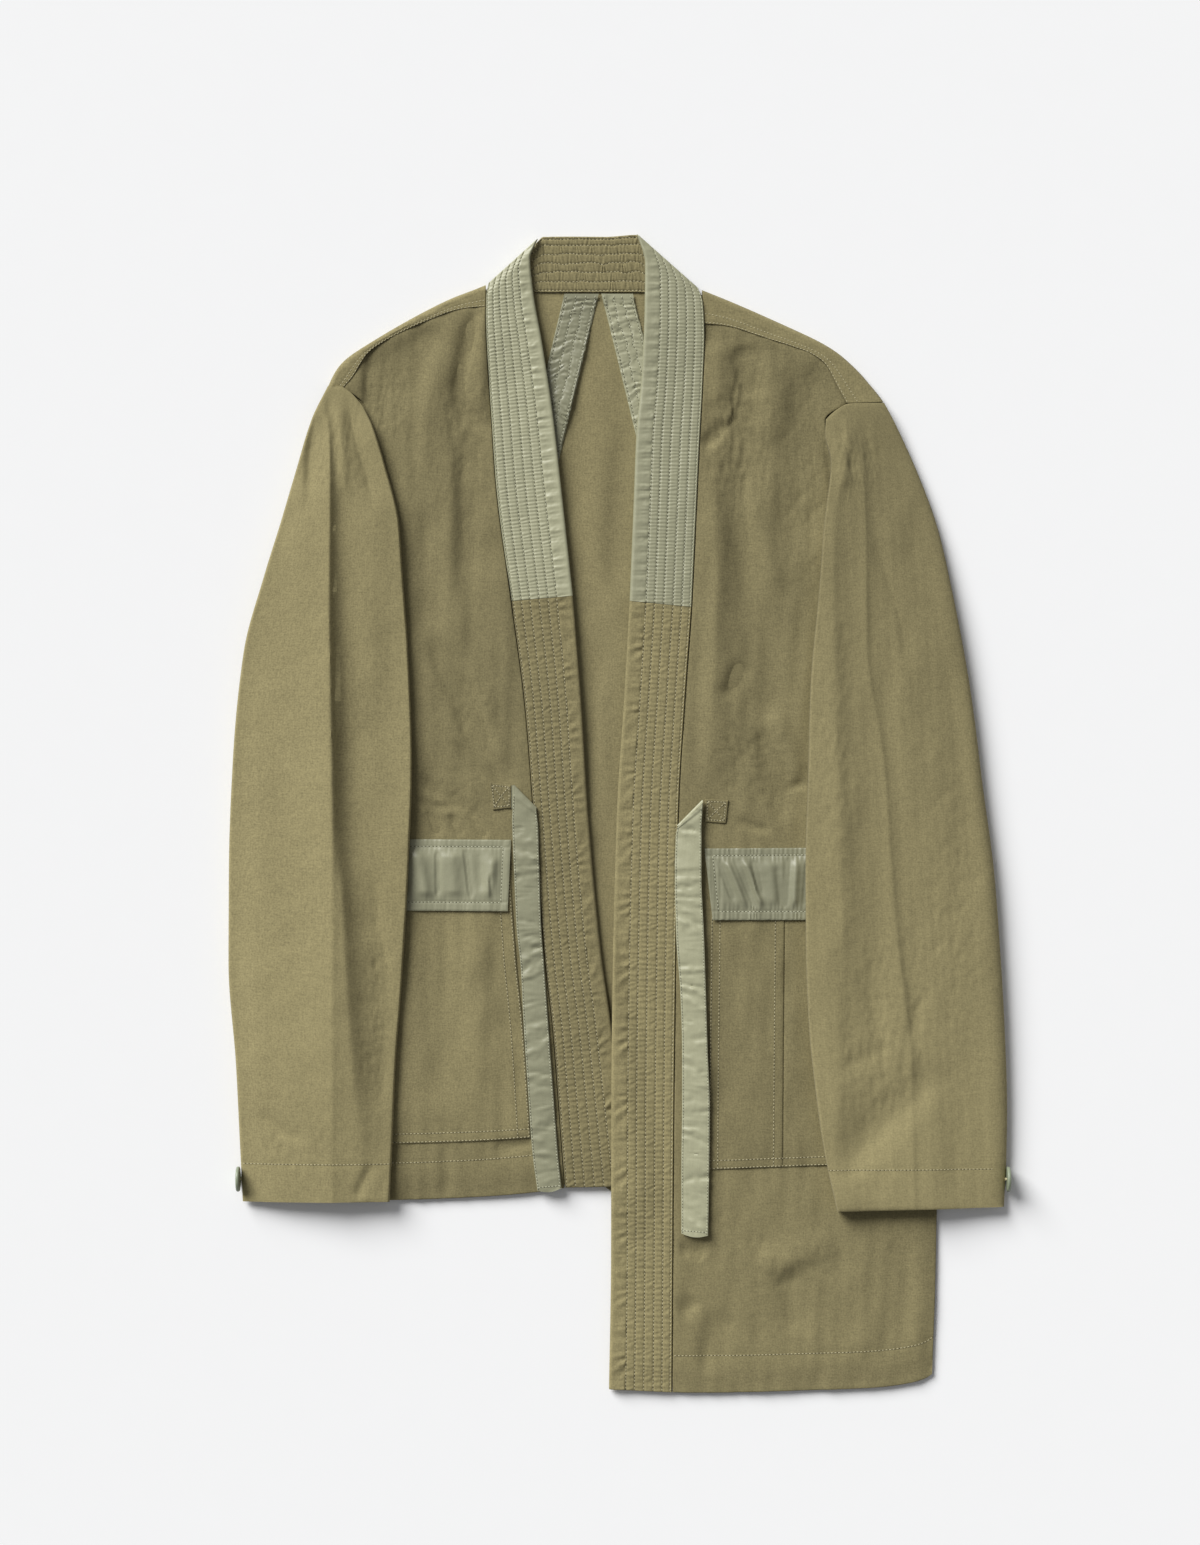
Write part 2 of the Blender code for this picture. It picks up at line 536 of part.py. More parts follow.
def back():
    """The back lies flat and turns over each shoulder to the forward seam."""
    short_wrap = shoulder(Side(SHORT_SHOULDER_FOLD, SHORT_SHOULDER_SEAM, SHORT_FRONT_PARTS))
    long_wrap = shoulder(Side(LONG_SHOULDER_FOLD, LONG_SHOULDER_SEAM, LONG_FRONT_PARTS))
    places = back_places(short_wrap.centres[::-1], long_wrap.centres)
    rows, columns = places.shape[:2]
    flat = places.reshape(-1, 2)
    outer = np.column_stack([flat, np.zeros(len(flat))]).tolist()
    inner = np.column_stack([flat, np.full(len(flat), CLOTH)]).tolist()
    faces = grid_faces(rows, columns)
    short_count, long_count = len(short_wrap.centres), len(long_wrap.centres)
    for wrap, start, step in ((short_wrap, short_count - 1, -1),
                              (long_wrap, columns - long_count, 1)):
        order = range(len(wrap.centres))
        previous = [start + step * number for number in order]
        for turn in (*SHOULDER_TURNS, None):
            made = []
            for number in order:
                if turn is None:
                    out = (*wrap.ends[number], SHOULDER_TOP)
                    inn = (*wrap.ends[number], SHOULDER_TOP - CLOTH)
                else:
                    out, inn = wrapped_row(wrap, number, turn)
                made.append(len(outer))
                outer.append(out)
                inner.append(inn)
            for number in order[:-1]:
                face = [previous[number], previous[number + 1], made[number + 1], made[number]]
                faces.append(face[::-1] if step == 1 else face)
            previous = made
    return wall("back", outer, inner, faces, "olive_cloth", OLIVE)


def rib_columns(channels):
    """Places across a band, and whether each is on a crown between two rows of stitches."""
    places = []
    crowns = []
    for low, high in zip(channels, channels[1:]):
        places += [low, low + 0.3 * (high - low), low + 0.7 * (high - low)]
        crowns += [0.0, 1.0, 1.0]
    return np.array(places + [1.0]), np.array(crowns + [0.0])


def neck_band():
    across, crowns = rib_columns(NECK_CHANNELS)
    xs = np.array([row.x for row in NECK_BAND])
    rows = smooth(NECK_BAND, "x", xs)
    grid = np.zeros((len(rows), len(across), 2))
    grid[:, :, 0] = rows[:, :1]
    grid[:, :, 1] = rows[:, 1:2] + (rows[:, 2:3] - rows[:, 1:2]) * across
    top = BAND_GROOVE + (BAND_CROWN - BAND_GROOVE) * crowns * np.ones((len(rows), 1))
    return sheet("neck_band", grid, top, np.zeros(top.shape), "olive_cloth", OLIVE)


def lap_lift(x, y):
    """How far the long band is lifted by the short band beneath it."""
    edge = smooth(SHORT_BAND_LOWER, "inner_y", np.ravel(y))[:, 0].reshape(np.shape(y))
    run = LAP_RUN + LAP_RUN * ease((-100.0 - y) / 100.0)
    below = ease((-25.0 - y) / 60.0) * ease((y + 345.0) / 45.0)
    return LAP_LIFT * ease((run - (x - edge - 2.0)) / run) * below


def band_strip(name, sections, stations, cloth_name, cloth, lapped, hem_y, turned_over):
    """One length of the quilted collar band, ribbed along its rows of stitches."""
    across, crowns = rib_columns(CHANNELS)
    rows = smooth(sections, "inner_y", stations)
    grid = rows[:, None, 0:2] + (rows[:, None, 2:4] - rows[:, None, 0:2]) * across[:, None]
    x, y = grid[:, :, 0], grid[:, :, 1]
    under = np.full(x.shape, BAND_UNDER)
    if lapped:
        under += lap_lift(x, y)
    under -= (BAND_UNDER - BAND_AT_HEM) * ease((hem_y + BAND_HEM_RUN - y) / BAND_HEM_RUN)
    under += NECK_LIFT * ease((y - NECK_FROM_Y) / NECK_RUN)
    top = under + BAND_GROOVE + (BAND_CROWN - BAND_GROOVE) * crowns
    if turned_over:
        under[-2] -= 0.7 * TURN_DROP
        top[-2] -= 0.35 * TURN_DROP
        under[-1] = BAND_CROWN + BAND_SEAM
        top[-1] -= TURN_DROP
    return sheet(name, grid, top, under, cloth_name, cloth)


def bands():
    made = []
    for side, lower, upper in (("short_side", SHORT_BAND_LOWER, SHORT_BAND_UPPER),
                               ("long_side", LONG_BAND_LOWER, LONG_BAND_UPPER)):
        hem_y = lower[0].inner_y
        stations = np.linspace(hem_y, lower[-1].inner_y, 10 if side == "short_side" else 13)
        made.append(band_strip("band_lower_" + side, lower, stations, "olive_cloth", OLIVE,
                               side == "long_side", hem_y, False))
        end = upper[-1].inner_y
        stations = np.concatenate([np.linspace(upper[0].inner_y, end - 16.0, 7),
                                   [end - 7.0, end - 2.5, end]])
        made.append(band_strip("band_upper_" + side, upper, stations, "satin", SATIN,
                               False, hem_y, True))
    return made


def straps():
    made = []
    for side, rows in (("short_side", SHORT_STRAP), ("long_side", LONG_STRAP)):
        table = np.array(rows)
        parts = np.linspace(0.0, 1.0, 4)
        grid = table[:, None, 0:2] + (table[:, None, 2:4] - table[:, None, 0:2]) \
            * parts[None, :, None]
        under = np.full(grid.shape[:2], CLOTH + SEAM)
        made.append(sheet("strap_" + side, grid, under + STRAP_CLOTH, under, "satin", SATIN))
    return made


class Panel:
    """A front panel: a grid of places and heights that pockets and flaps are made from."""

    def __init__(self, name, sections, seam, hem, band, ys, parts, folds, fall_from):
        self.parts = np.array(parts)
        self.ys = np.array(ys)
        self.name = name
        rows = smooth(sections, "inner_y", self.ys)
        band_x = smooth(band, "outer_y", self.ys)[:, 2]
        away = -1.0 if band_x[0] < 0 else 1.0
        starts = np.column_stack([band_x + away * BAND_SEAM, rows[:, 0]])
        starts[-1] = hem[0]
        ends = rows[:, 1:3]
        mix = self.parts[None, :, None]
        grid = starts[:, None] + (ends - starts)[:, None] * mix
        chord = np.array(seam[0]) + (np.array(seam[-1]) - np.array(seam[0])) * mix[0]
        rise = along(seam, self.parts) - chord
        fade = np.clip(1.0 - (self.ys[0] - self.ys) / SHOULDER_REACH, 0.0, 1.0) ** 1.6
        grid += rise[None] * fade[:, None, None]
        chord = np.array(hem[0]) + (np.array(hem[-1]) - np.array(hem[0])) * mix[0]
        sag = along(hem, self.parts) - chord
        fade = np.clip(1.0 - (self.ys - self.ys[-1]) / HEM_REACH, 0.0, 1.0)
        grid += sag[None] * fade[:, None, None]
        self.grid = grid
        x, y = grid[:, :, 0], grid[:, :, 1]
        top = np.full(x.shape, FRONT_TOP) + fold_height(folds, x, y)
        to_side = np.linalg.norm(grid - ends[:, None], axis=2)
        falling = ease((fall_from - ends[:, 1]) / FRONT_FALL)[:, None]
        top -= SIDE_DROP * (1.0 - ease(to_side / SIDE_RUN)) * falling
        to_hem = y - grid[-1, :, 1][None]
        top -= HEM_DROP * (1.0 - ease(to_hem / HEM_RUN))
        self.top = np.maximum(top, LOWEST_TOP)

    def build(self):
        return sheet(self.name, self.grid, self.top, self.top - CLOTH, "olive_cloth", OLIVE)

    def places(self, row, parts):
        """Places and heights on one of the panel's rows, on the straight runs of its grid."""
        xs = np.interp(parts, self.parts, self.grid[row, :, 0])
        ys = np.interp(parts, self.parts, self.grid[row, :, 1])
        zs = np.interp(parts, self.parts, self.top[row])
        return np.column_stack([xs, ys]), zs

    def row_at(self, y):
        return int(np.argmin(np.abs(self.ys - y)))


def panel_piece(name, panel, placed, count, gap, thick, raised, cloth_name, cloth):
    """A piece that lies on a panel: the panel's own points, moved out."""
    first, last = panel.row_at(placed.high), panel.row_at(placed.low)
    if count:
        parts_high = np.linspace(placed.high_from, placed.high_to, count)
        parts_low = np.linspace(placed.low_from, placed.low_to, count)
    else:
        parts_high = panel.parts[(panel.parts >= placed.high_from) & (panel.parts <= placed.high_to)]
        parts_low = parts_high
    grid, top, under = [], [], []
    for row in range(first, last + 1):
        down = (row - first) / (last - first)
        parts = parts_high * (1.0 - down) + parts_low * down
        places, heights = panel.places(row, parts)
        grid.append(places)
        under.append(heights + gap(down))
        top.append(heights + gap(down) + thick + raised(down, np.arange(len(parts))))
    return sheet(name, np.array(grid), np.array(top), np.array(under), cloth_name, cloth)


def nothing_raised(down, columns):
    return np.zeros(len(columns))


def crinkles(down, columns):
    """Soft creases that hang from the flap's upper row of stitches."""
    wave = 0.5 + 0.5 * np.sin(columns * 2.4 + 1.3 * down)
    return 0.7 * wave * math.sin(math.pi * min(1.0, 0.1 + down))


def flap_gap(down):
    """A flap is sewn to the front at its top and passes over the pocket's mouth."""
    return SEAM + (POCKET_CLOTH + SEAM) * float(ease(down / 0.34))


def pocket_gap(down):
    return SEAM


def tab(name, corners, pile):
    """A small square of cloth sewn down on all sides."""
    top_left, top_right, low_right, low_left = [np.array(corner) for corner in corners]
    parts = np.linspace(0.0, 1.0, 4)
    upper = top_left + (top_right - top_left) * parts[:, None]
    lower = low_left + (low_right - low_left) * parts[:, None]
    grid = np.array([upper + (lower - upper) * down for down in parts])
    under = np.array([[pile.under(x, y, 3.5, 3.5) for x, y in row] for row in grid]) + SEAM
    return sheet(name, grid, under + TAB_CLOTH, under, "olive_cloth", OLIVE)


def tie(name, away, tab_edge, corner, elbow, rows, pile):
    """A strip that leaves its tab sideways, folds over on the diagonal and hangs down the front.

    away is the direction from the tab to the band, corner the top end of the diagonal fold,
    and elbow its lower end.
    """
    corner, elbow = np.array(corner), np.array(elbow)
    table = np.array(rows)
    edges = [(np.array([tab_edge, corner[1]]), np.array([tab_edge, elbow[1]])), (corner, elbow)]
    rest = max(pile.under(*corner, 4.0, 4.0), pile.under(*elbow, 6.0, 6.0)) + SEAM
    lower, upper = rest, rest + TIE_CLOTH + SEAM
    outer, inner = [], []
    for high, low in edges:
        outer.append(((*high, lower), (*low, lower)))
        inner.append(((*high, lower + TIE_CLOTH), (*low, lower + TIE_CLOTH)))
    bulge = np.array([away, 1.0]) * TIE_BULGE
    middle = (lower + upper + TIE_CLOTH) / 2.0
    outer.append(((*(corner + bulge), middle), (*(elbow + bulge), middle)))
    inner.append(((*(corner + bulge * 0.1), middle - SEAM / 2), (*(elbow + bulge * 0.1), middle)))
    outer.append(((*corner, upper + TIE_CLOTH), (*elbow, upper + TIE_CLOTH)))
    inner.append(((*(corner - bulge * 0.3), upper), (*(elbow - bulge * 0.3), upper)))
    heights = []
    for left_x, left_y, right_x, right_y in table:
        centre_x, centre_y = (left_x + right_x) / 2, (left_y + right_y) / 2
        heights.append(pile.under(centre_x, centre_y, 14.0, 26.0) + SEAM + TIE_GAP)
    heights[0] = max(heights[0], upper)
    fine = np.linspace(table[0, 1], table[-1, 1], TIE_ROWS)
    levels = np.interp(-fine, -table[:, 1], heights)
    for (left_x, left_y, right_x, right_y), level in zip(smooth(rows, "left_y", fine), levels):
        near, far = (left_x, left_y), (right_x, right_y)
        if away < 0:
            near, far = far, near
        outer.append(((*near, level + TIE_CLOTH), (*far, level + TIE_CLOTH)))
        inner.append(((*near, level), (*far, level)))
    outer = np.array(outer).reshape(-1, 3)
    inner = np.array(inner).reshape(-1, 3)
    return wall(name, outer, inner, grid_faces(len(outer) // 2, 2), "satin", SATIN)


def resting_heights(sections, stations, pile):
    """The height of what lies under each place of a sleeve, and a softer height above it."""
    raw = np.zeros((len(stations), len(SLEEVE_COLUMNS)))
    for number, (inner_x, inner_y, outer_x, outer_y) in enumerate(sections):
        reach = abs(stations[max(number, 1)] - stations[max(number, 1) - 1])
        for column, part in enumerate(SLEEVE_COLUMNS):
            x = outer_x + (inner_x - outer_x) * part
            y = outer_y + (inner_y - outer_y) * part
            raw[number, column] = pile.under(x, y, SLEEVE_LIFT, reach)
    raw += SEAM + SLEEVE_GAP
    soft = raw.copy()
    for _ in range(3):
        padded = np.pad(soft, 1, mode="edge")
        soft = (padded[:-2, 1:-1] + padded[2:, 1:-1] + padded[1:-1, :-2] + padded[1:-1, 2:]
                + 4.0 * soft) / 8.0
    under = np.maximum(raw, soft)
    return under, np.maximum(soft, under - SLEEVE_SAG)


def flat_ring(far, near, low, high, thick):
    """Outer and inner points round one section of a flattened tube, over its top and back."""
    width = np.linalg.norm(near - far)
    edge = np.minimum(SLEEVE_COLUMNS, 1.0 - SLEEVE_COLUMNS) * width
    rounding = np.clip(edge / SLEEVE_ROUND, 0, 1)
    round_out = np.sqrt(np.clip(1.0 - (1.0 - rounding) ** 2, 0, 1))
    shrink = thick / width
    inside = shrink + (1.0 - 2 * shrink) * SLEEVE_COLUMNS
    places = far + (near - far) * SLEEVE_COLUMNS[:, None]
    places_in = far + (near - far) * inside[:, None]
    middle = (low + high) / 2.0
    half_out = (high - low) / 2.0
    half_in = half_out - thick
    ring_out = np.column_stack([places, middle + half_out * round_out])
    ring_in = np.column_stack([places_in, middle + half_in * round_out])
    low_out = np.column_stack([places, middle - half_out * round_out])[1:-1][::-1]
    low_in = np.column_stack([places_in, middle - half_in * round_out])[1:-1][::-1]
    return ring_out.tolist() + low_out.tolist(), ring_in.tolist() + low_in.tolist()


def tube_faces(rings, count):
    """Quads between rings of points that each have so many."""
    faces = []
    for start in range(0, (rings - 1) * count, count):
        for column in range(count):
            following = (column + 1) % count
            faces.append([start + column, start + following, start + count + following,
                          start + count + column])
    return faces


def sleeve(name, rows, folds, pile):
    """A flattened tube that rests on the front and comes down to the surface beyond the side."""
    first, last = rows[0].outer_y, rows[-1].outer_y
    stations = first + (last - first) * SLEEVE_ROWS
    sections = smooth(rows, "outer_y", stations)
    under, over = resting_heights(sections, stations, pile)
    outer, inner = [], []
    for number, (inner_x, inner_y, outer_x, outer_y) in enumerate(sections):
        far, near = np.array([outer_x, outer_y]), np.array([inner_x, inner_y])
        cap = SLEEVE_CAP[min(number, len(SLEEVE_CAP) - 1)]
        places = far + (near - far) * SLEEVE_COLUMNS[:, None]
        crease = fold_height(folds, places[:, 0], places[:, 1]) * min(1.0, number / 3.0)
        swell = cap.hollow * (0.55 + 0.45 * np.sin(math.pi * SLEEVE_COLUMNS)) + 0.3 * crease
        low = np.maximum(cap.level, under[number])
        least = 2 * cap.cloth + SLEEVE_HOLLOW
        high = np.maximum(over[number] + 2 * cap.cloth + swell, low + least)
        high = np.maximum(high + np.clip(crease, -1.2, 1.2) * 0.5, low + least)
        if number == 0:
            low[:] = cap.level
            high[:] = cap.level + 2 * cap.cloth + cap.hollow
        ring_out, ring_in = flat_ring(far, near, low, high, cap.cloth)
        outer += ring_out
        inner += ring_in
    faces = tube_faces(len(stations), 2 * len(SLEEVE_COLUMNS) - 2)
    return wall(name, outer, inner, faces, "olive_cloth", OLIVE)


def button(name, edge_x, away, centre_y):
    """A turned cuff button that stands on edge against the fold of the cuff."""
    points, rings = [], []
    for distance, depth in BUTTON_OUTLINE:
        ring = []
        for side in range(BUTTON_SIDES if distance else 1):
            angle = 2 * math.pi * side / BUTTON_SIDES
            height = distance * math.sin(angle)
            leaning = BUTTON_LEAN * (1.0 - height / BUTTON_RADIUS) / 2.0
            ring.append(len(points))
            points.append((edge_x + away * (BUTTON_THICK - depth + leaning),
                           centre_y + distance * math.cos(angle),
                           BUTTON_RADIUS + BUTTON_GAP + height))
        rings.append(ring)
    faces = []
    for first, second in zip(rings, rings[1:]):
        for side in range(BUTTON_SIDES):
            following = (side + 1) % BUTTON_SIDES
            if len(first) == 1:
                face = [first[0], second[side], second[following]]
            elif len(second) == 1:
                face = [first[side], second[0], first[following]]
            else:
                face = [first[side], second[side], second[following], first[following]]
            faces.append(face if away > 0 else face[::-1])
    mesh = bpy.data.meshes.new(name)
    mesh.from_pydata([tuple(value * MM for value in point) for point in points], [], faces)
    mesh.materials.append(material("button", BUTTON))
    mesh.shade_smooth()
    mesh.set_sharp_from_angle(angle=math.radians(35.0))
    made = bpy.data.objects.new(name, mesh)
    bpy.context.scene.collection.objects.link(made)
    return made


def pockets_and_flaps(short_front, long_front):
    """The pieces that lie on a front, from the lowest up."""
    return [
        panel_piece("pocket_short_side", short_front, SHORT_POCKET, None, pocket_gap,
                    POCKET_CLOTH, nothing_raised, "olive_cloth", OLIVE),
        panel_piece("pocket_long_side", long_front, LONG_POCKET, None, pocket_gap,
                    POCKET_CLOTH, nothing_raised, "olive_cloth", OLIVE),
        panel_piece("flap_short_side", short_front, SHORT_FLAP, FLAP_COLUMNS, flap_gap,
                    FLAP_CLOTH, crinkles, "satin", SATIN),
        panel_piece("flap_long_side", long_front, LONG_FLAP, FLAP_COLUMNS, flap_gap,
                    FLAP_CLOTH, crinkles, "satin", SATIN),
    ]


def build_all():
    clear_scene()
    pile = Pile()
    short_front = Panel("front_short_side", SHORT_FRONT, SHORT_SHOULDER_SEAM, SHORT_HEM,
                        SHORT_BAND_LOWER + SHORT_BAND_UPPER[1:], SHORT_FRONT_LEVELS,
                        SHORT_FRONT_PARTS, SHORT_FOLDS, 320.0)
    long_front = Panel("front_long_side", LONG_FRONT, LONG_SHOULDER_SEAM, LONG_HEM,
                       LONG_BAND_LOWER + LONG_BAND_UPPER[1:], LONG_FRONT_LEVELS,
                       LONG_FRONT_PARTS, LONG_FOLDS, 308.0)
    flat_pieces = [back(), neck_band(), *straps(), *bands(), short_front.build(),
                   long_front.build(), *pockets_and_flaps(short_front, long_front)]
    for piece in flat_pieces:
        pile.lay(piece)
    pile.lay(tab("tab_short_side", SHORT_TAB, pile))
    pile.lay(tab("tab_long_side", LONG_TAB, pile))
    pile.lay(tie("tie_short_side", 1.0, -86.1, Point(-84.6, 22.6), Point(-66.4, 4.2), SHORT_TIE,
                 pile))
    pile.lay(tie("tie_long_side", -1.0, 68.3, Point(66.8, 10.4), Point(46.6, -10.0), LONG_TIE,
                 pile))
    sleeve("sleeve_short_side", SHORT_SLEEVE, SHORT_SLEEVE_FOLDS, pile)
    sleeve("sleeve_long_side", LONG_SLEEVE, LONG_SLEEVE_FOLDS, pile)
    button("button_short_side", -302.8, -1.0, -291.9)
    button("button_long_side", 309.2, 1.0, -292.0)


build_all()
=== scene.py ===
"""Looks of an olive hanten-style wrap jacket with satin trim, laid flat with its front up.

Every piece is a thin shell of cloth on the form of its CAD solid. X runs across the jacket and Y up
towards the neck, and Z is height above the floor. Lengths are millimetres until a mesh is made.
The short side is at -X, the long side at +X.

A point in a table is (x, y). A fold's path runs down the jacket, so its right flank is the one
towards +X. A crest of 1 makes a sharp crease and a crest of 2 a round one.
"""
import math
from collections import namedtuple

import bmesh
import bpy
import numpy as np
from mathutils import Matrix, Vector
from mathutils.bvhtree import BVHTree


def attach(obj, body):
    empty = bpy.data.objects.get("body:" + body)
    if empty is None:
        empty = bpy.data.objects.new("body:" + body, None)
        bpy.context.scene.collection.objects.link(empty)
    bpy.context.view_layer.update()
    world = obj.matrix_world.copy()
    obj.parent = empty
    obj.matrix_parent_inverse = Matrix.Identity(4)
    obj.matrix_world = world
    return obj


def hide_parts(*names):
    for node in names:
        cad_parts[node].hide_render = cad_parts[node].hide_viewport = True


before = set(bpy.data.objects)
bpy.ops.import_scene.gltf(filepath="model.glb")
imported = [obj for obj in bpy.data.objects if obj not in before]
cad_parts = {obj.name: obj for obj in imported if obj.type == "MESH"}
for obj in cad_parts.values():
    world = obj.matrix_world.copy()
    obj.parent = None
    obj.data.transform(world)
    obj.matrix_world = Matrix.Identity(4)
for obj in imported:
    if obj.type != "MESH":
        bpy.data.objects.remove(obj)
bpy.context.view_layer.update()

MM = 0.001
SEAM = 0.3                # clearance between pieces, as in the CAD model
BAND_SEAM = 0.5           # the same beside the collar band
CLOTH = 1.0               # thickness of the shells of main cloth
FRONT_TOP = 6.6           # height of a front's upper face away from creases and edges
FRONT_RELIEF = 2.9        # how much deeper the fronts' creases are than their tables say
SIDE_DROP = 2.3           # how far a front sinks towards its side, and over what distance
SIDE_RUN = 16.0
HEM_DROP = 1.8            # the same towards its hem
HEM_RUN = 22.0
LOWEST_TOP = 3.3          # no crease of a front goes below this height
DEEPEST = 3.2             # how far below the flat level of a front its creases go
BACK_TOP = 2.0
SHOULDER_TOP = 7.5
FLAP_THICK = 0.8
FLAP_LIFT = 1.2           # how far its free lower edge stands away
FLAP_PUFF = 0.6           # how far a flap's middle stands above its hems
YOKE_LAP = 0.5            # how far the back lies over the top edge of a front
BAND_UNDER = 4.4          # height of the underside of a band over its front
BAND_GROOVE = 2.65        # thickness of a band at its stitches, and between them
BAND_CROWN = 3.05
BAND_HEM_UNDER = 2.8      # how high the underside of a band lies at its hem
BAND_HEM_RUN = 26.0
INNER_EDGE_LIFT = 2.6     # how far the short side's band stands up along its folded edge
NECK_LIFT = 2.0           # how much higher the bands lie where they go over the neck band
LAP_LIFT = 3.5            # how far the short band lifts the long one
NECK_SEAM_Y = 417.5
STITCH_PITCH = 2.9
THREAD_LIFT = 0.06        # how far a thread is laid above the cloth
SLEEVE_LENGTH = 640.0

# ---------------------------------------------------------------- tables

# The ends of a line across a piece. Inner is the end nearer to the middle of the jacket.
Across = namedtuple("Across", "inner_x inner_y outer_x outer_y")
Row = namedtuple("Row", "inner_y outer_x outer_y")
Strip = namedtuple("Strip", "left_x left_y right_x right_y")
Reach = namedtuple("Reach", "x low high")
# A short crease: its height, the reach of each flank, its path and the shape of its crest.
Fold = namedtuple("Fold", "height left right path crest", defaults=(2.0,))
# A long crease at a level: its place, height, the reach of each flank and how round its crest is.
Ridge = namedtuple("Ridge", "y x height left right round", defaults=(1.0,))
# A patch of small creases: its middle and reach, their height and their size.
Crumple = namedtuple("Crumple", "x y reach_x reach_y height size")
# How much higher a sleeve lies at its far edge, its middle and its near edge.
Swell = namedtuple("Swell", "y far middle near")
# How far the cap of a sleeve rises above a straight line from its outer to its inner corner.
Rise = namedtuple("Rise", "part height")
# Creases across a stitched strip: their spacing, depth and slant.
Pucker = namedtuple("Pucker", "period depth slant")
# A crease of a pocket flap: parts of the width at its top and its foot, depth, the reach of each
# flank, and the parts of the flap's length where it starts and ends.
Crinkle = namedtuple("Crinkle", "top_part low_part depth left right start end")
# A ring of a turned body: its radius, and its depth behind the foremost ring.
Turning = namedtuple("Turning", "radius depth")
Wave = namedtuple("Wave", "seed height across lengthwise")
Button = namedtuple("Button", "edge_x away y")


def rows_of(kind, rows):
    """A table whose columns have names."""
    return [kind(*row) for row in rows]


SHORT_BAND_LOWER = rows_of(Across, [
    (9.4, -298.7, -43.4, -299.5), (1.2, -232, -48.2, -233.9), (-7, -164.3, -53, -172),
    (-14.6, -110, -59.5, -115), (-25, 2.9, -68.6, 2.9), (-30.6, 92.5, -75, 84), (-37, 174, -86.2, 170),
])
SHORT_BAND_UPPER = rows_of(Across, [
    (-37, 174.3, -86.2, 170.3), (-47.4, 270, -98.4, 262), (-53.4, 322, -102.1, 315),
    (-61.8, 377, -105.4, 366), (-69, 419, -106.6, 398), (-71.2, 444, -106.4, 413),
    (-65.2, 460.2, -104.6, 424.5),
])
LONG_BAND_LOWER = rows_of(Across, [
    (-8.2, -461.1, 42.2, -463.5), (-6.6, -357, 42.8, -357), (-6.4, -229, 43.8, -229),
    (-5.5, -142, 45, -133), (-1.8, 2.9, 47.2, -3), (3.8, 91, 52.3, 87), (8.3, 170, 58, 165.2),
])
LONG_BAND_UPPER = rows_of(Across, [
    (8.3, 170.3, 58, 165.5), (11.6, 251, 61.8, 246), (13.6, 302, 64.2, 296), (18, 352, 66.8, 342),
    (20.3, 406, 68.2, 383), (20.6, 440, 67, 408), (14.2, 463.9, 63.2, 420.5),
])
SHORT_FRONT = rows_of(Row, [
    (406.6, -221.1, 341.6), (372, -203.2, 324.8), (335, -205.8, 299), (280, -215.4, 251),
    (225, -235.4, 203), (150, -273, 139), (22, -273.5, 22), (-130, -273.5, -130), (-260, -273, -268),
    (-299.8, -273, -309.5),
])
LONG_FRONT = rows_of(Row, [
    (392.7, 182.4, 328.6), (360, 164.9, 314.6), (330, 168.6, 291), (280, 180.6, 247),
    (225, 200.6, 203), (150, 253.4, 131), (11, 255, 11), (-130, 255, -130), (-290, 254.8, -282),
    (-380, 253.4, -372), (-463.5, 250.7, -449),
])
SHORT_SHOULDER_SEAM = [
    (-107.2, 406.6), (-129.8, 404.6), (-151.8, 396.1), (-175.4, 386.1), (-200.6, 371.3), (-208, 360),
    (-213.5, 350), (-221.1, 341.6),
]
LONG_SHOULDER_SEAM = [
    (68.5, 392.7), (89.2, 391), (115.8, 381.6), (139.5, 374.2), (154.2, 368.8), (166.2, 360.4),
    (173.5, 345), (182.4, 328.6),
]
SHORT_SHOULDER_FOLD = [
    (-106.9, 423.4), (-117.8, 418.9), (-137, 411.9), (-169.8, 394.9), (-202.1, 375.7), (-220.2, 363.7),
    (-228.2, 353.3), (-233, 342.6),
]
LONG_SHOULDER_FOLD = [
    (66.2, 419.4), (93.4, 408.5), (130.6, 392), (169.1, 374.2), (189.8, 356.5), (204.6, 339),
    (209, 333.5), (211.6, 329.6),
]
SHORT_HEM = [(-43.7, -299.8), (-65.8, -303.5), (-113, -307.5), (-183.4, -309.9), (-273, -309.5)]
LONG_HEM = [
    (42.5, -463.7), (84.6, -464), (143, -462.2), (191.8, -460.8), (220.6, -458.7), (243.8, -453.9),
    (250.7, -449),
]
BACK_SHORT_EDGE = [
    (-231, 338), (-236, 300), (-246, 220), (-272.2, 139), (-272.6, -130), (-272.2, -306),
]
BACK_LONG_EDGE = [
    (209.4, 326), (216, 290), (226, 215), (252.6, 131), (254.2, -130), (254, -300), (249.9, -446),
]
BACK_HEM = [
    (-272.2, -306), (-150, -305.5), (-50, -298), (-6, -295), (2, -330), (8, -420), (40, -459.5),
    (190, -457), (249.9, -446),
]
NECK_BAND = rows_of(Reach, [
    (-97, 417.8, 428), (-80, 417.8, 444.6), (-66, 417.8, 458), (-61, 417.8, 462.4),
    (-36, 417.8, 462.6), (-11, 417.8, 462.4), (14.2, 417.8, 464), (23, 417.8, 455.6), (38, 417.8, 442),
    (55, 417.8, 425.8),
])
SHORT_STRAP = rows_of(Strip, [
    (-44, 416.4, -16.4, 416.4), (-56.4, 364.7, -28.7, 364.7), (-72.4, 298, -44.8, 298),
    (-88.5, 231, -61, 231),
])
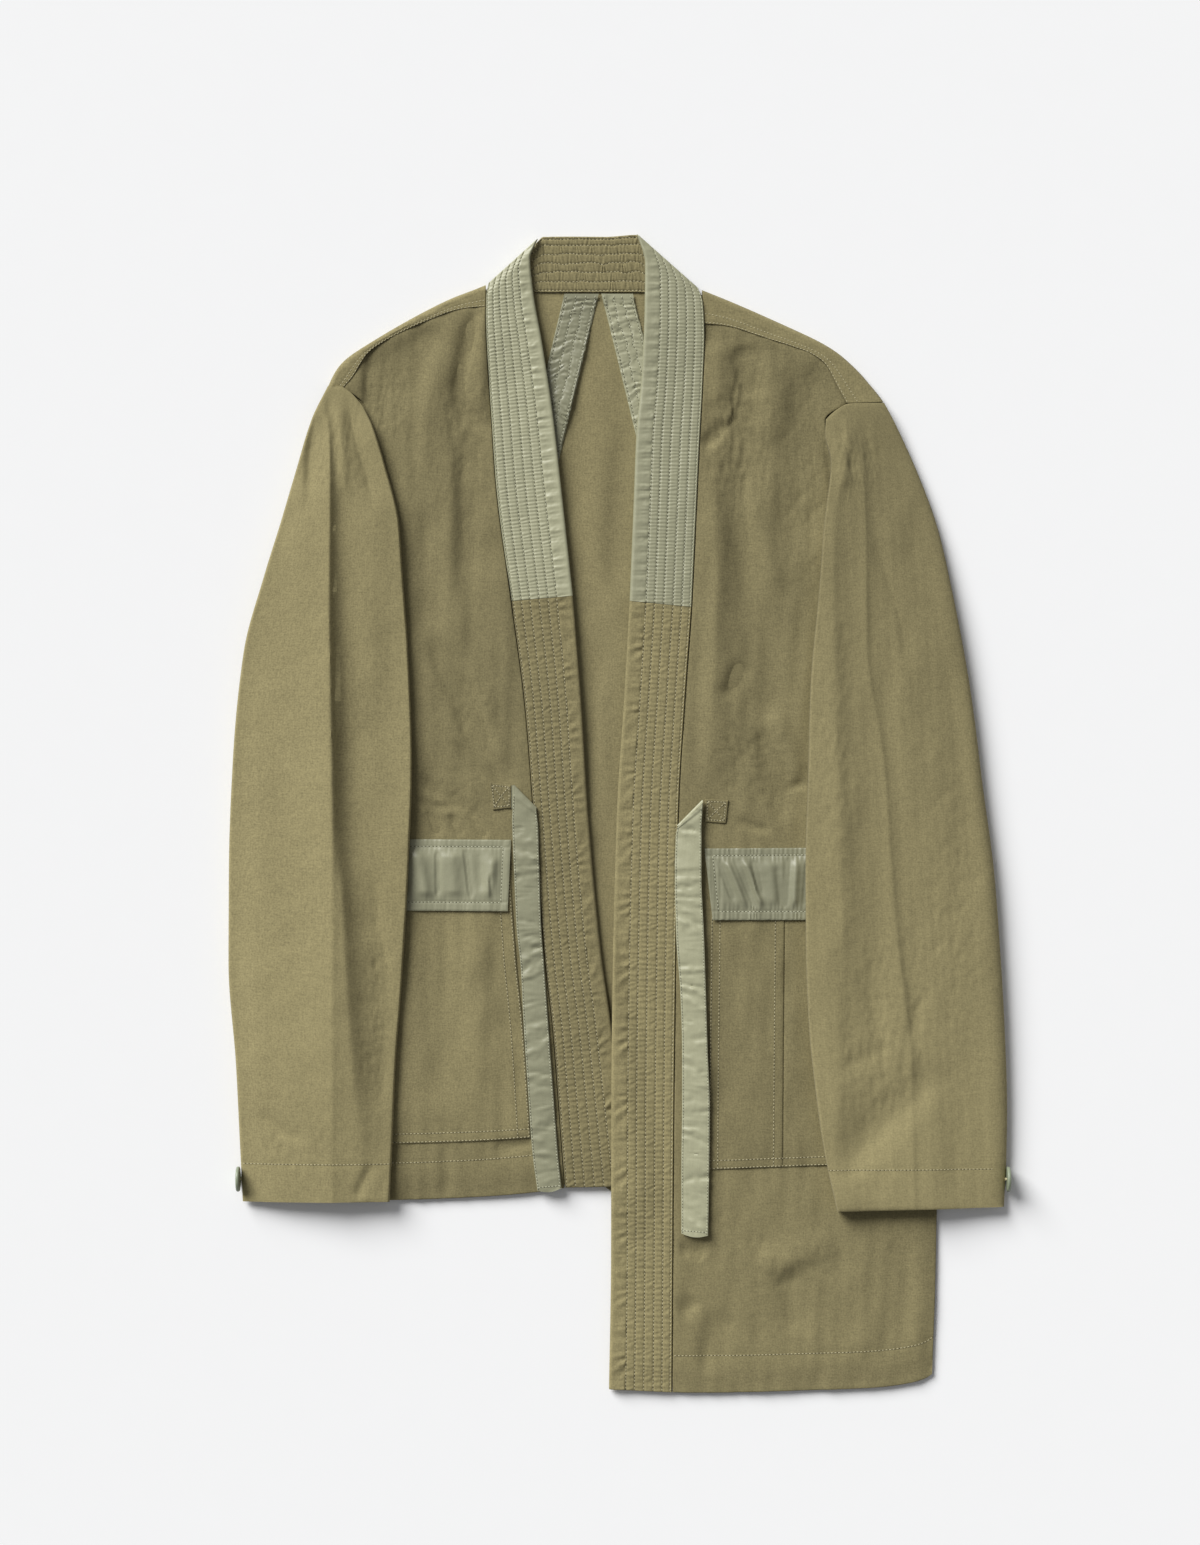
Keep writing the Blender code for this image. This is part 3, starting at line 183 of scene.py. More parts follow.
LONG_STRAP = rows_of(Strip, [
    (-14.4, 416.4, 11, 416.4), (-1.6, 364.7, 23.8, 364.7), (14.6, 298, 40.2, 298),
    (31, 231, 56.6, 231),
])
SHORT_SLEEVE = rows_of(Across, [
    (-204.1, 323.4, -233, 340.6), (-197.6, 311, -246.2, 314), (-187, 278, -258.2, 275),
    (-175.8, 231.7, -270.6, 232.5), (-173, 191.7, -282.6, 193.3), (-168.6, 128.5, -300.2, 128.5),
    (-165.4, 39, -309, 43), (-167.8, -35.5, -312.2, -37), (-173.4, -133, -312.6, -120),
    (-178.6, -202.7, -306.6, -199.5), (-181.2, -265.9, -303.4, -265.9),
    (-183.4, -309.6, -301.5, -310.3),
])
LONG_SLEEVE = rows_of(Across, [
    (165.2, 313, 211.8, 326.4), (164.6, 302, 220.3, 311.5), (169, 279.7, 237.1, 276.5),
    (163.4, 228.5, 255, 227), (159.8, 180.5, 264.6, 184.5), (152.6, 99, 280.6, 99),
    (150.4, 19, 291, 19), (148.4, -45, 299.5, -45), (148.8, -105, 304.2, -105),
    (151, -165, 307.8, -165), (158.6, -237, 310.2, -237), (165, -277, 309.6, -277),
    (173.8, -316.9, 307.8, -314.2),
])
SHORT_TIE = rows_of(Strip, [
    (-85.8, -6, -64.8, -10), (-84.4, -40, -64, -40), (-82.2, -90, -62.4, -90),
    (-78.8, -123, -60, -123), (-76.7, -165, -57, -165), (-73, -222, -52.8, -222),
    (-69.6, -270, -49.2, -270), (-65.5, -301.3, -46.2, -299.4),
])
LONG_TIE = rows_of(Strip, [
    (45.2, -17, 65.6, -10), (44.4, -45, 65.6, -45), (45.6, -100, 67.8, -100), (48.8, -143, 69.2, -143),
    (50.2, -190, 70.6, -190), (50.2, -233, 72.2, -233), (49.6, -285, 71.8, -285),
    (49.6, -335.5, 70.9, -336.8),
])
# Rows of stitches across a band, as parts of its width from its folded edge.
BAND_ROWS = [0.265, 0.405, 0.55, 0.70, 0.84, 0.97]
NECK_ROWS = [0.03, 0.19, 0.36, 0.52, 0.68, 0.84, 0.95]

SHORT_FOLDS = rows_of(Fold, [
    (-1.7, 7, 5, [(-116, 414), (-118, 388), (-127, 350), (-128, 334), (-121, 316), (-98, 304)]),
    (0.9, 12, 7, [(-107, 412), (-110, 360), (-112, 318)]),
    (-1.3, 14, 18, [(-145, 398), (-166, 362), (-190, 329)]),
    (0.9, 10, 14, [(-130, 410), (-150, 350), (-154, 300), (-148, 240)]),
    (-2.2, 2.5, 12, [(-202, 398), (-202.4, 350), (-202, 306)], 1.2),
    (-1, 9, 14, [(-205, 346), (-196, 310), (-182, 250)]),
    (-0.9, 8, 12, [(-123, 320), (-124, 240), (-122, 160)]),
    (0.9, 14, 10, [(-136, 320), (-133, 205), (-133, 100)]),
    (-1, 18, 16, [(-158, 250), (-156, 190), (-148, 130)]),
    (-1.5, 6, 12, [(-154, 150), (-138, 105), (-124, 77), (-108, 36)]),
    (-1.2, 5, 9, [(-132, 118), (-112, 66), (-100, 34), (-80, 16)]),
    (0.8, 8, 8, [(-122, 128), (-103, 70), (-90, 26)]),
    (-1.1, 4, 7, [(-136, 62), (-122, 43), (-106, 29), (-84, 16)]),
    (-1, 4, 6, [(-162, 34), (-150, 20), (-136, 14), (-110, -6)]),
    (0.7, 16, 14, [(-94, 220), (-96, 140), (-92, 60)]),
    (-0.8, 3, 4, [(-154, 3), (-148, -8), (-144, -20)]),
    (-0.8, 3, 4, [(-136, 0), (-131, -9), (-126, -20)]),
    (-0.9, 3, 5, [(-122, 4), (-114, -8), (-106, -20)]),
    (-0.7, 3, 4, [(-168, 12), (-145, 3), (-118, 12)]),
    (-0.7, 14, 14, [(-144, -50), (-141, -150), (-146, -240)]),
    (0.6, 10, 12, [(-112, -60), (-116, -160), (-110, -250)]),
    (-0.8, 4, 6, [(-101, -270), (-66, -263)]), (-0.5, 5, 7, [(-140, -262), (-138, -308)]),
])
LONG_FOLDS = rows_of(Fold, [
    (-1.7, 4, 6, [(66, 292), (78, 303), (84, 316)]),
    (-1.4, 12, 14, [(84, 322), (91, 330), (96, 312), (106, 262)]),
    (1, 9, 12, [(80, 384), (80, 350), (76, 322)]), (-1.3, 9, 10, [(99, 378), (102, 352), (104, 330)]),
    (0.9, 10, 11, [(121, 374), (122, 340), (118, 290)]),
    (-1.5, 14, 12, [(92, 290), (96, 250), (98, 205), (104, 150)]),
    (1.8, 9, 22, [(74, 300), (78, 250), (77, 171), (76, 91), (70, 10)], 1.5),
    (0.9, 9, 14, [(106, 268), (112, 240), (122, 200), (132, 170)]),
    (-1.9, 14, 16, [(160, 366), (150, 330), (146, 251), (140, 200)]),
    (-1.2, 22, 12, [(108, 190), (116, 130), (122, 60)]),
    (0.6, 8, 9, [(112, 190), (112, 130), (104, 90)]), (-1, 6, 10, [(101, 123), (90, 104), (81, 91)]),
    (-1.3, 9, 12, [(113, 75), (122, 44), (130, 10), (131, -10)]),
    (0.8, 9, 8, [(120, 90), (136, 50), (146, 20)]), (-0.9, 3, 4, [(129, 18), (138, 20), (150, 24)]),
    (-0.8, 3, 5, [(92, -4), (104, -12), (122, -14)]),
    (-0.7, 10, 12, [(84, -100), (86, -180), (82, -250)]),
    (1, 10, 14, [(103, -353), (133, -361), (173, -335)]),
    (-0.9, 10, 12, [(131, -362), (139, -392), (136, -420)]),
    (0.6, 12, 12, [(170, -360), (196, -400), (202, -440)]),
    (-1, 5, 7, [(48, -352), (60, -350), (68, -358)]),
    (-0.9, 5, 8, [(47, -402), (56, -396), (64, -388)]),
    (-0.8, 10, 14, [(84, -395), (72, -425), (70, -452)]),
    (-0.6, 12, 12, [(228, -330), (224, -380), (230, -430)]),
])
SHORT_SLEEVE_FOLDS = rows_of(Fold, [
    (-2.6, 5, 9, [(-220, 345), (-215, 318), (-207, 285), (-195, 240)], 1.6),
    (2, 6, 5, [(-228, 340), (-223, 312), (-220, 285), (-220, 250)]),
    (1.8, 7, 4, [(-246, 318), (-252, 280), (-254, 240)]),
    (-1.6, 4, 9, [(-243, 322), (-246, 290), (-249, 252)], 1.6),
    (-1.6, 16, 20, [(-184, 180), (-184, 60), (-178, -40)]),
    (1.4, 14, 16, [(-192, 270), (-196, 180), (-197, 80)]),
    (-0.8, 16, 20, [(-268, 150), (-274, 0), (-270, -150)]),
    (0.8, 14, 14, [(-286, 90), (-290, -60), (-288, -230)]),
    (-0.8, 9, 5, [(-196, -40), (-188, -110), (-184, -160)]),
    (-0.8, 9, 5, [(-190, -150), (-186, -190), (-192, -240)]),
    (-1.4, 5, 7, [(-290, -236), (-268, -256), (-246, -262)]),
    (-1.6, 4, 6, [(-196, -276), (-204, -292), (-212, -308)]),
])
LONG_SLEEVE_FOLDS = rows_of(Fold, [
    (-2, 5, 12, [(203, 225), (214, 188), (224, 150), (230, 110)], 1.6),
    (1.6, 9, 12, [(214, 270), (222, 160), (228, 80), (232, -20)]),
    (1.8, 6, 7, [(184, 326), (181, 290), (180, 254)]),
    (-2.2, 4, 6, [(171, 312), (180, 296), (187, 268)], 1.6),
    (-1.6, 14, 16, [(262, 160), (270, 20), (272, -130)]),
    (-1.2, 5, 8, [(192, -120), (204, -165), (212, -220)], 1.6),
    (0.6, 8, 8, [(202, -130), (222, -168), (240, -206)]),
    (-1, 5, 6, [(246, -132), (232, -172), (222, -222)], 1.6),
    (-0.9, 5, 7, [(168, -212), (192, -196), (218, -186)], 1.6),
    (-3.4, 20, 13, [(258, -196), (234, -226), (206, -252), (182, -280), (170, -300)]),
    (-1.2, 10, 12, [(172, -30), (178, -130), (174, -220)]),
    (-1, 12, 12, [(262, -170), (268, -250), (264, -330)]),
])
# Long creases down the sleeves, from the cap to the cuff.
SHORT_RIDGES = [
    rows_of(Ridge, [
        (335, -238, 1.5, 30, 2.6), (300, -231.5, 4.6, 40, 2.8), (250, -230.5, 6.6, 50, 3),
        (171, -230.6, 9.4, 55, 3.8), (91, -229.4, 13.2, 60, 4.4, 1.8), (11, -228, 14.4, 60, 6.2, 1.8),
        (-30, -227.6, 9.4, 60, 8.6, 1.6), (-69, -227.6, 5.4, 60, 13, 0.8),
        (-149, -227.8, 4.8, 60, 14, 0.8), (-213, -228, 4.4, 60, 14, 0.8),
        (-261, -228.4, 3.8, 60, 14, 0.8), (-320, -228.6, 2.8, 60, 14, 0.8),
    ]),
    rows_of(Ridge, [
        (91, -226, 0, 80, 7, 2), (11, -225, 0.6, 80, 7, 2), (-30, -223.5, 5.4, 80, 6.6, 3),
        (-69, -220.6, 10, 80, 7.6, 3.4), (-149, -216.5, 11.2, 80, 10.5, 5),
        (-213, -212, 9, 80, 12, 5.6), (-261, -208, 5.2, 70, 15, 8), (-320, -206, 1.6, 60, 16, 8),
    ]),
]
LONG_RIDGES = [
    rows_of(Ridge, [
        (320, 176, 1, 16, 4, 2), (299, 181.4, 3.2, 24, 6, 2), (235, 171.5, 4.6, 22, 12, 3),
        (171, 170, 5.2, 20, 13, 3), (91, 171.5, 6, 22, 13, 3), (11, 174, 7.4, 30, 15, 4),
        (-69, 177, 7.6, 40, 15, 4), (-149, 174, 6.4, 40, 18, 5), (-213, 174, 4.8, 40, 20, 5),
        (-261, 172, 2.6, 30, 14, 4), (-320, 176, 1.6, 30, 14, 4),
    ]),
    rows_of(Ridge, [
        (310, 191, 0.6, 10, 2.6), (292, 193.4, 1.4, 12, 2.8), (199, 196.6, 1.8, 14, 3),
        (128, 197, 1.5, 14, 3.2), (81, 203.8, 1.8, 18, 3.4), (34, 211, 2, 20, 3.4),
        (-45, 216.6, 2.2, 24, 3.2), (-112, 222.2, 2.2, 26, 3), (-191, 231.8, 2, 26, 2.8),
        (-227, 233.4, 1.4, 26, 2.8), (-320, 235, 0.4, 20, 3),
    ]),
]
SHORT_CRUMPLES = rows_of(Crumple, [
    (-134, 14, 34, 22, 0.45, 12), (-116, 74, 20, 34, 0.4, 13), (-122, 300, 20, 60, 0.4, 16),
    (-190, 330, 20, 40, 0.35, 14),
])
LONG_CRUMPLES = rows_of(Crumple, [
    (100, 44, 34, 44, 0.45, 12), (92, 300, 28, 70, 0.45, 16), (133, -359, 48, 28, 0.4, 18),
    (150, 250, 22, 80, 0.4, 16),
])
SHORT_SLEEVE_CRUMPLES = rows_of(Crumple, [
    (-196, -157, 12, 70, 0.4, 12), (-228, 290, 30, 40, 0.3, 14), (-250, -270, 40, 20, 0.3, 14),
])
LONG_SLEEVE_CRUMPLES = rows_of(Crumple, [
    (210, -175, 32, 70, 0.42, 16), (190, 290, 24, 36, 0.35, 12), (172, 30, 16, 120, 0.35, 16),
    (270, -80, 30, 120, 0.3, 18),
])
SHORT_SWELL = rows_of(Swell, [
    (343, 0, 0, 0), (200, 1.5, 0.6, 1.6), (40, 1.2, 0, 2), (-60, 0.4, 0, 1.6), (-150, 0, 0, 0.4),
    (-240, 0, 0.6, -0.4), (-312, -3, 0.6, -0.6),
])
LONG_SWELL = rows_of(Swell, [
    (330, 0, 0, 0), (200, 3, 0.6, 1.6), (100, 6, 1, 2.2), (0, 9, 1.2, 1.2), (-120, 11, 1.6, 0.6),
    (-240, 9, 3, 3), (-320, 6, 4.6, 6),
])
SHORT_CAP = rows_of(Rise, [
    (0, 1.5), (0.2, 5), (0.41, 7.8), (0.58, 7.4), (0.75, 5.6), (0.88, 3.2), (1, 0.8),
])
LONG_CAP = rows_of(Rise, [
    (0, 2.3), (0.33, 6.6), (0.53, 8.9), (0.64, 9.8), (0.83, 7.4), (0.93, 4.8), (1, 2.2),
])
BACK_FOLDS = rows_of(Fold, [
    (-1.2, 8, 12, [(-34, 356), (-32, 290), (-38, 220)]),
    (1.4, 12, 10, [(-14, 380), (-12, 300), (-16, 200)]),
    (-1.3, 9, 10, [(4, 320), (2, 250), (-4, 170)]), (1.4, 7, 6, [(-22, 226), (-12, 190), (0, 150)]),
    (-1.2, 6, 10, [(-24, 150), (-18, 90), (-20, 40)]),
    (-1.2, 4, 10, [(-24, -8), (-14, -36), (-6, -66)], 1.4),
    (1.3, 8, 6, [(-12, 120), (-14, 60), (-8, 0)]),
    (-0.6, 14, 14, [(-150, 200), (-154, 60), (-148, -120)]),
    (0.6, 16, 16, [(120, 220), (124, 40), (118, -200)]),
])
SHORT_CRINKLES = rows_of(Crinkle, [
    (0.57, 0.565, -1.6, 3.4, 0.9, 0.10, 0.88), (0.367, 0.29, -2, 3.4, 0.9, 0.06, 0.94),
    (0.17, 0.13, -1.6, 2.4, 0.9, 0.45, 1), (0.74, 0.62, 2.2, 5, 6, 0, 0.95),
    (0.46, 0.42, 1.6, 6, 6, 0.1, 0.9), (0.09, 0.17, 1.8, 3, 5, 0.2, 1),
    (0.25, 0.22, -0.7, 4, 5, 0.1, 0.8), (0.86, 0.80, -1.3, 3, 4, 0.1, 0.9),
])
LONG_CRINKLES = rows_of(Crinkle, [
    (0.07, 0.24, -2.3, 1.6, 3.2, 0.1, 0.8), (0.14, 0.34, 1.7, 2.6, 2, 0.1, 1),
    (0.22, 0.42, -2.4, 2, 3.6, 0, 0.95), (0.30, 0.47, 1.8, 3, 2, 0.1, 1),
    (0.38, 0.45, -2, 1.8, 4, 0.1, 0.75), (0.52, 0.55, 0.9, 5, 4, 0.1, 0.9),
    (0.58, 0.62, -1.3, 3, 2.6, 0.2, 0.95), (0.70, 0.64, -2.4, 3, 1.8, 0, 0.95),
    (0.76, 0.71, 2, 2.2, 3.2, 0, 0.95), (0.86, 0.80, -1.8, 2, 2.6, 0.1, 0.9),
    (0.91, 0.90, 1.3, 2, 2, 0.1, 0.9),
])
# Unevenness of the fronts and of the sleeves, from coarse to fine.
FRONT_WAVES = rows_of(Wave, [(0, 0.2, 26, 110), (1, 0.22, 60, 70), (2, 0.045, 9, 14)])
SLEEVE_WAVES = rows_of(Wave, [(0, 0.12, 24, 110), (1, 0.14, 70, 80), (2, 0.04, 9, 14)])
# Puckers of the bands' wide and narrow channels.
SATIN_WIDE = rows_of(Pucker, [(9.4, 0.5, 0.15), (3.8, 0.16, 0.2)])
SATIN_NARROW = rows_of(Pucker, [(2.9, 0.24, 0.25)])
OLIVE_WIDE = rows_of(Pucker, [(12, 0.7, 0.5), (6, 0.2, 0.3)])
OLIVE_NARROW = rows_of(Pucker, [(4.4, 0.32, 0.5)])


# ---------------------------------------------------------------- curves and heights


def ease(value):
    """Smooth step from 0 to 1."""
    value = np.clip(value, 0.0, 1.0)
    return value * value * (3.0 - 2.0 * value)


def ramp(value, start, end):
    """Smooth step from 0 at start to 1 at end, which may be the lower one."""
    return ease((value - start) / (end - start))


def smooth(rows, key, at):
    """Rows of a table read between its rows by a monotone cubic in one named column."""
    table = np.array(rows, dtype=float)
    column = rows[0]._fields.index(key)
    if table[0, column] > table[-1, column]:
        table = table[::-1]
    keys = table[:, column]
    rise = np.diff(table, axis=0) / np.diff(keys)[:, None]
    slope = np.zeros_like(table)
    slope[0] = rise[0]
    slope[-1] = rise[-1]
    product = rise[:-1] * rise[1:]
    total = rise[:-1] + rise[1:]
    flat = np.abs(total) <= 1e-9
    even = np.where(flat, 0.0, 2.0 * product / np.where(total == 0, 1.0, total))
    slope[1:-1] = np.where(product > 0.0, even, 0.0)
    at = np.clip(np.asarray(at, dtype=float), keys[0], keys[-1])
    span = np.clip(np.searchsorted(keys, at) - 1, 0, len(keys) - 2)
    width = (keys[span + 1] - keys[span])[:, None]
    part = (at - keys[span])[:, None] / width
    return ((1 + 2 * part) * (1 - part) ** 2 * table[span]
            + part * (1 - part) ** 2 * width * slope[span]
            + part ** 2 * (3 - 2 * part) * table[span + 1]
            + part ** 2 * (part - 1) * width * slope[span + 1])


def soften(points, passes=3):
    """An open path with its corners rounded by repeated corner cutting."""
    path = np.array(points, dtype=float)
    for _ in range(passes):
        cut = np.empty((2 * len(path), 2))
        cut[0] = path[0]
        cut[-1] = path[-1]
        cut[1:-1:2] = 0.75 * path[:-1] + 0.25 * path[1:]
        cut[2:-1:2] = 0.25 * path[:-1] + 0.75 * path[1:]
        path = cut
    return path


def lengths_along(path):
    """Distance of each point of a path from its start."""
    return np.concatenate([[0.0], np.cumsum(np.linalg.norm(np.diff(path, axis=0), axis=1))])


def points_at(path, lengths, places):
    """Points at the given distances from the start of a path."""
    return np.stack([np.interp(places, lengths, column) for column in path.T], axis=1)


def along(points, parts):
    """Points at the given parts of the length of an open path."""
    path = soften(points)
    lengths = lengths_along(path)
    return points_at(path, lengths, np.asarray(parts) * lengths[-1])


def spread(length, step):
    """Places from 0 to length, close together near both ends, where an edge rounds over."""
    ends = np.array([0.0, 0.22, 0.55, 1.0])
    count = max(2, int(round((length - 2 * ends[-1]) / step)) + 1)
    middle = np.linspace(ends[-1], length - ends[-1], count)
    return np.concatenate([ends[:-1], middle, length - ends[:-1][::-1]])


def nearest(values, wanted):
    """Number of the value that lies closest to the wanted one."""
    return int(np.argmin(np.abs(values - wanted)))


def plan(grid):
    """The x and the y of a grid's places, which stay parts of the grid."""
    return grid[:, :, 0], grid[:, :, 1]


def across_strip(near, far, parts):
    """Places of a strip at the given parts of the way from its near to its far edge."""
    return near[:, None] + (far - near)[:, None] * parts[:, None]


def distance_to(grid, side):
    """Distance of each place to the matching place on a side, such as the first column."""
    return np.linalg.norm(grid - side, axis=2)


def edge_distance(grid):
    """Distance of each place to the nearest of the grid's four sides."""
    across = np.minimum(distance_to(grid, grid[:, :1]), distance_to(grid, grid[:, -1:]))
    down = np.minimum(distance_to(grid, grid[:1]), distance_to(grid, grid[-1:]))
    return np.minimum(across, down)


def way_along(grid):
    """Distance along each column of a grid from its first row."""
    steps = np.linalg.norm(np.diff(grid[:, :, :2], axis=0), axis=2)
    return np.concatenate([np.zeros((1, grid.shape[1])), np.cumsum(steps, axis=0)])


def straight_way(grid):
    """Distance of each place down the mean direction of a strip."""
    lead = grid[-1].mean(axis=0) - grid[0].mean(axis=0)
    lead = lead / np.linalg.norm(lead)
    return (grid - grid[0].mean(axis=0)) @ lead


def waves(x, y, seed, height, across, lengthwise, count=16):
    """Gentle unevenness: seeded sine waves, about so many millimetres long each way."""
    draw = np.random.default_rng(seed)
    total = np.zeros_like(x, dtype=float)
    for _ in range(count):
        turns_x = draw.normal(0.0, 1.0 / across)
        turns_y = draw.normal(0.0, 1.0 / lengthwise)
        total += np.sin(2 * math.pi * (turns_x * x + turns_y * y + draw.random()))
    return height * total / math.sqrt(count / 2)


def unevenness(rows, x, y, seed):
    """The waves of a table added up, with seeds counted from the given one."""
    return sum(waves(x, y, seed + row.seed, row.height, row.across, row.lengthwise)
               for row in rows)


def place_on_path(path, x, y):
    """Distance of each point to a path, how far down the path it is, and on which side."""
    legs = np.diff(path, axis=0)
    sizes = np.linalg.norm(legs, axis=1)
    before = lengths_along(path)
    best = np.full(x.shape, np.inf)
    place = np.zeros(x.shape)
    side = np.zeros(x.shape)
    for start, leg, size, passed in zip(path, legs, sizes, before):
        part = ((x - start[0]) * leg[0] + (y - start[1]) * leg[1]) / size ** 2
        part = np.clip(part, 0.0, 1.0)
        away_x = x - start[0] - part * leg[0]
        away_y = y - start[1] - part * leg[1]
        away = np.hypot(away_x, away_y)
        nearer = away < best
        best = np.where(nearer, away, best)
        place = np.where(nearer, (passed + part * size) / before[-1], place)
        side = np.where(nearer, away_y * leg[0] - away_x * leg[1], side)
    return best, place, side


def fold_height(folds, x, y):
    """Height that folds add at points x, y: each fades at its ends and has two unlike flanks."""
    reach_in_widths = 2.6
    length_part = 0.26
    blunt = 0.4
    total = np.zeros_like(x, dtype=float)
    x = x + waves(x, y, seed=71, height=0.7, across=110.0, lengthwise=90.0, count=6)
    y = y + waves(x, y, seed=72, height=0.7, across=110.0, lengthwise=90.0, count=6)
    for fold in folds:
        path = soften(fold.path, 2)
        reach = reach_in_widths * max(fold.left, fold.right)
        low, high = path.min(axis=0) - reach, path.max(axis=0) + reach
        near = (x > low[0]) & (x < high[0]) & (y > low[1]) & (y < high[1])
        if not near.any():
            continue
        away, place, side = place_on_path(path, x[near], y[near])
        width = np.where(side > 0.0, fold.right, fold.left)
        fade = ease(place / length_part) * ease((1.0 - place) / length_part)
        total[near] += fold.height * fade * np.exp(-((away + blunt) / width) ** fold.crest)
    return total


def ridge_height(rows, x, y):
    """Height of one long crease, its place and flanks read from a table."""
    read = Ridge(*smooth(rows, "y", y.ravel()).T.reshape((-1,) + x.shape))
    away = x - read.x
    run = np.where(away > 0.0, read.right, read.left)
    return read.height * np.exp(-(np.hypot(away, read.round) - read.round) / run)


def crumple_height(crumples, x, y):
    """Patches of small crisp creases."""
    total = np.zeros_like(x, dtype=float)
    for seed, patch in enumerate(crumples, start=500):
        hold = np.exp(-((x - patch.x) / patch.reach_x) ** 2 - ((y - patch.y) / patch.reach_y) ** 2)
        fine = waves(x, y, seed, 1.0, patch.size, 1.6 * patch.size)
        total += patch.height * hold * (0.8 - np.abs(fine))
    return total


def puckers(way, part, period, slant, depth, seed, crisp=1.0):
    """Creases across a stitched strip, uneven in spacing and depth. way is the length along it.

    crisp is 0 for even waves and 1 for sharp furrows between round bulges.
    """
    draw = np.random.default_rng(seed)
    drift = np.zeros_like(way, dtype=float)
    strength = np.zeros_like(way, dtype=float)
    for _ in range(5):
        length = period * draw.uniform(3.0, 9.0)
        size = draw.uniform(0.5, 1.1) * (0.1 + 0.9 * crisp)
        drift += size * np.sin(2 * math.pi * (way / length + draw.random()))
        length = period * draw.uniform(2.0, 7.0)
        strength += np.sin(2 * math.pi * (way / length + draw.random() + 0.15 * part))
    lean = slant * (0.5 + 1.2 * np.sin(2 * math.pi * (way / (4.3 * period) + draw.random())))
    phase = 2 * math.pi * (way / period + lean * part) + drift
    strength = np.clip(0.75 + 0.22 * crisp * strength, 0.25, 1.3)
    bulge = 1.6 * np.abs(np.sin(0.5 * phase)) - 1.0
    return depth * strength * ((1.0 - 0.5 * crisp) * np.sin(phase) + crisp * bulge)


def edge_fall(distance, run, depth):
    """How far the cloth rounds down near an edge."""
    part = 1.0 - np.clip(distance / run, 0.0, 1.0)
    return depth * (1.0 - np.sqrt(1.0 - part ** 2))


def groove(distance, run, depth):
    """Depth of a furrow whose middle is at distance 0."""
    return depth * np.exp(-(distance / run) ** 2)


def blur(values, row_passes, column_passes):
    """Repeated averaging of neighbours, first down the rows and then across the columns."""
    for axis, passes in ((0, row_passes), (1, column_passes)):
        for _ in range(passes):
            width = [(1, 1) if number == axis else (0, 0) for number in (0, 1)]
            padded = np.pad(values, width, mode="edge")
            first = np.take(padded, range(0, values.shape[axis]), axis=axis)
            last = np.take(padded, range(2, values.shape[axis] + 2), axis=axis)
            values = 0.5 * values + 0.25 * (first + last)
    return values


def running_mean(values, reach):
    """Mean of each value with as many neighbours on each side as reach says."""
    count = 2 * reach + 1
    return np.convolve(np.pad(values, reach, mode="edge"), np.ones(count) / count, mode="valid")


class Pile:
    """The greatest height laid so far in each cell of a grid."""

    CELL = 2.5
    HALF_X = 325.0
    HALF_Y = 480.0

    def __init__(self):
        self.shape = (int(2 * self.HALF_X / self.CELL), int(2 * self.HALF_Y / self.CELL))
        self.tops = np.zeros(self.shape)

    def cells(self, x, y):
        """The cells that points lie in."""
        column = ((np.asarray(x) + self.HALF_X) / self.CELL).astype(int)
        row = ((np.asarray(y) + self.HALF_Y) / self.CELL).astype(int)
        return np.clip(column, 0, self.shape[0] - 1), np.clip(row, 0, self.shape[1] - 1)

    def lay(self, points):
        """Adds points of a piece to the pile."""
        flat = points.reshape(-1, 3)
        np.maximum.at(self.tops, self.cells(flat[:, 0], flat[:, 1]), flat[:, 2])

    def under(self, x, y, reach):
        """Greatest height within reach of each point."""
        cells = int(math.ceil(reach / self.CELL))
        high = self.tops
        for axis in (0, 1):
            high = np.max([np.roll(high, shift, axis=axis)
                           for shift in range(-cells, cells + 1)], axis=0)
        return high[self.cells(x, y)]


class Solid:
    """The faces of a CAD node, to read the heights of its form."""

    ABOVE = 80.0
    BELOW = -20.0

    def __init__(self, node):
        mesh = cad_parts[node].data
        corners = [vertex.co / MM for vertex in mesh.vertices]
        self.tree = BVHTree.FromPolygons(corners, [list(face.vertices) for face in mesh.polygons])

    def height(self, x, y, from_above):
        """Height of the form's upper or lower face at points x, y."""
        start, way = (self.ABOVE, -1.0) if from_above else (self.BELOW, 1.0)
        values = np.full(x.shape, np.nan)
        for place in np.ndindex(x.shape):
            hit = self.tree.ray_cast(Vector((x[place], y[place], start)), Vector((0, 0, way)))[0]
            if hit is not None:
                values[place] = hit.z
        return fill_gaps(values)


def fill_gaps(values):
    """Each row's missing values taken from its neighbours, and a missing row's from the next."""
    columns = np.arange(values.shape[1])
    for row in values:
        known = ~np.isnan(row)
        if known.any():
            row[:] = np.interp(columns, columns[known], row[known])
    rows = np.arange(values.shape[0])
    known = ~np.isnan(values[:, 0])
    for column in range(values.shape[1]):
        values[:, column] = np.interp(rows, rows[known], values[known, column])
    return values


# ---------------------------------------------------------------- meshes


def quads(numbers):
    """The faces between neighbouring rows and columns of point numbers."""
    corners = np.stack([numbers[:-1, :-1], numbers[:-1, 1:], numbers[1:, 1:], numbers[1:, :-1]], -1)
    return corners.reshape(-1, 4).tolist()


def add_object(name, data):
    """A new object in the scene."""
    made = bpy.data.objects.new(name, data)
    bpy.context.scene.collection.objects.link(made)
    return made


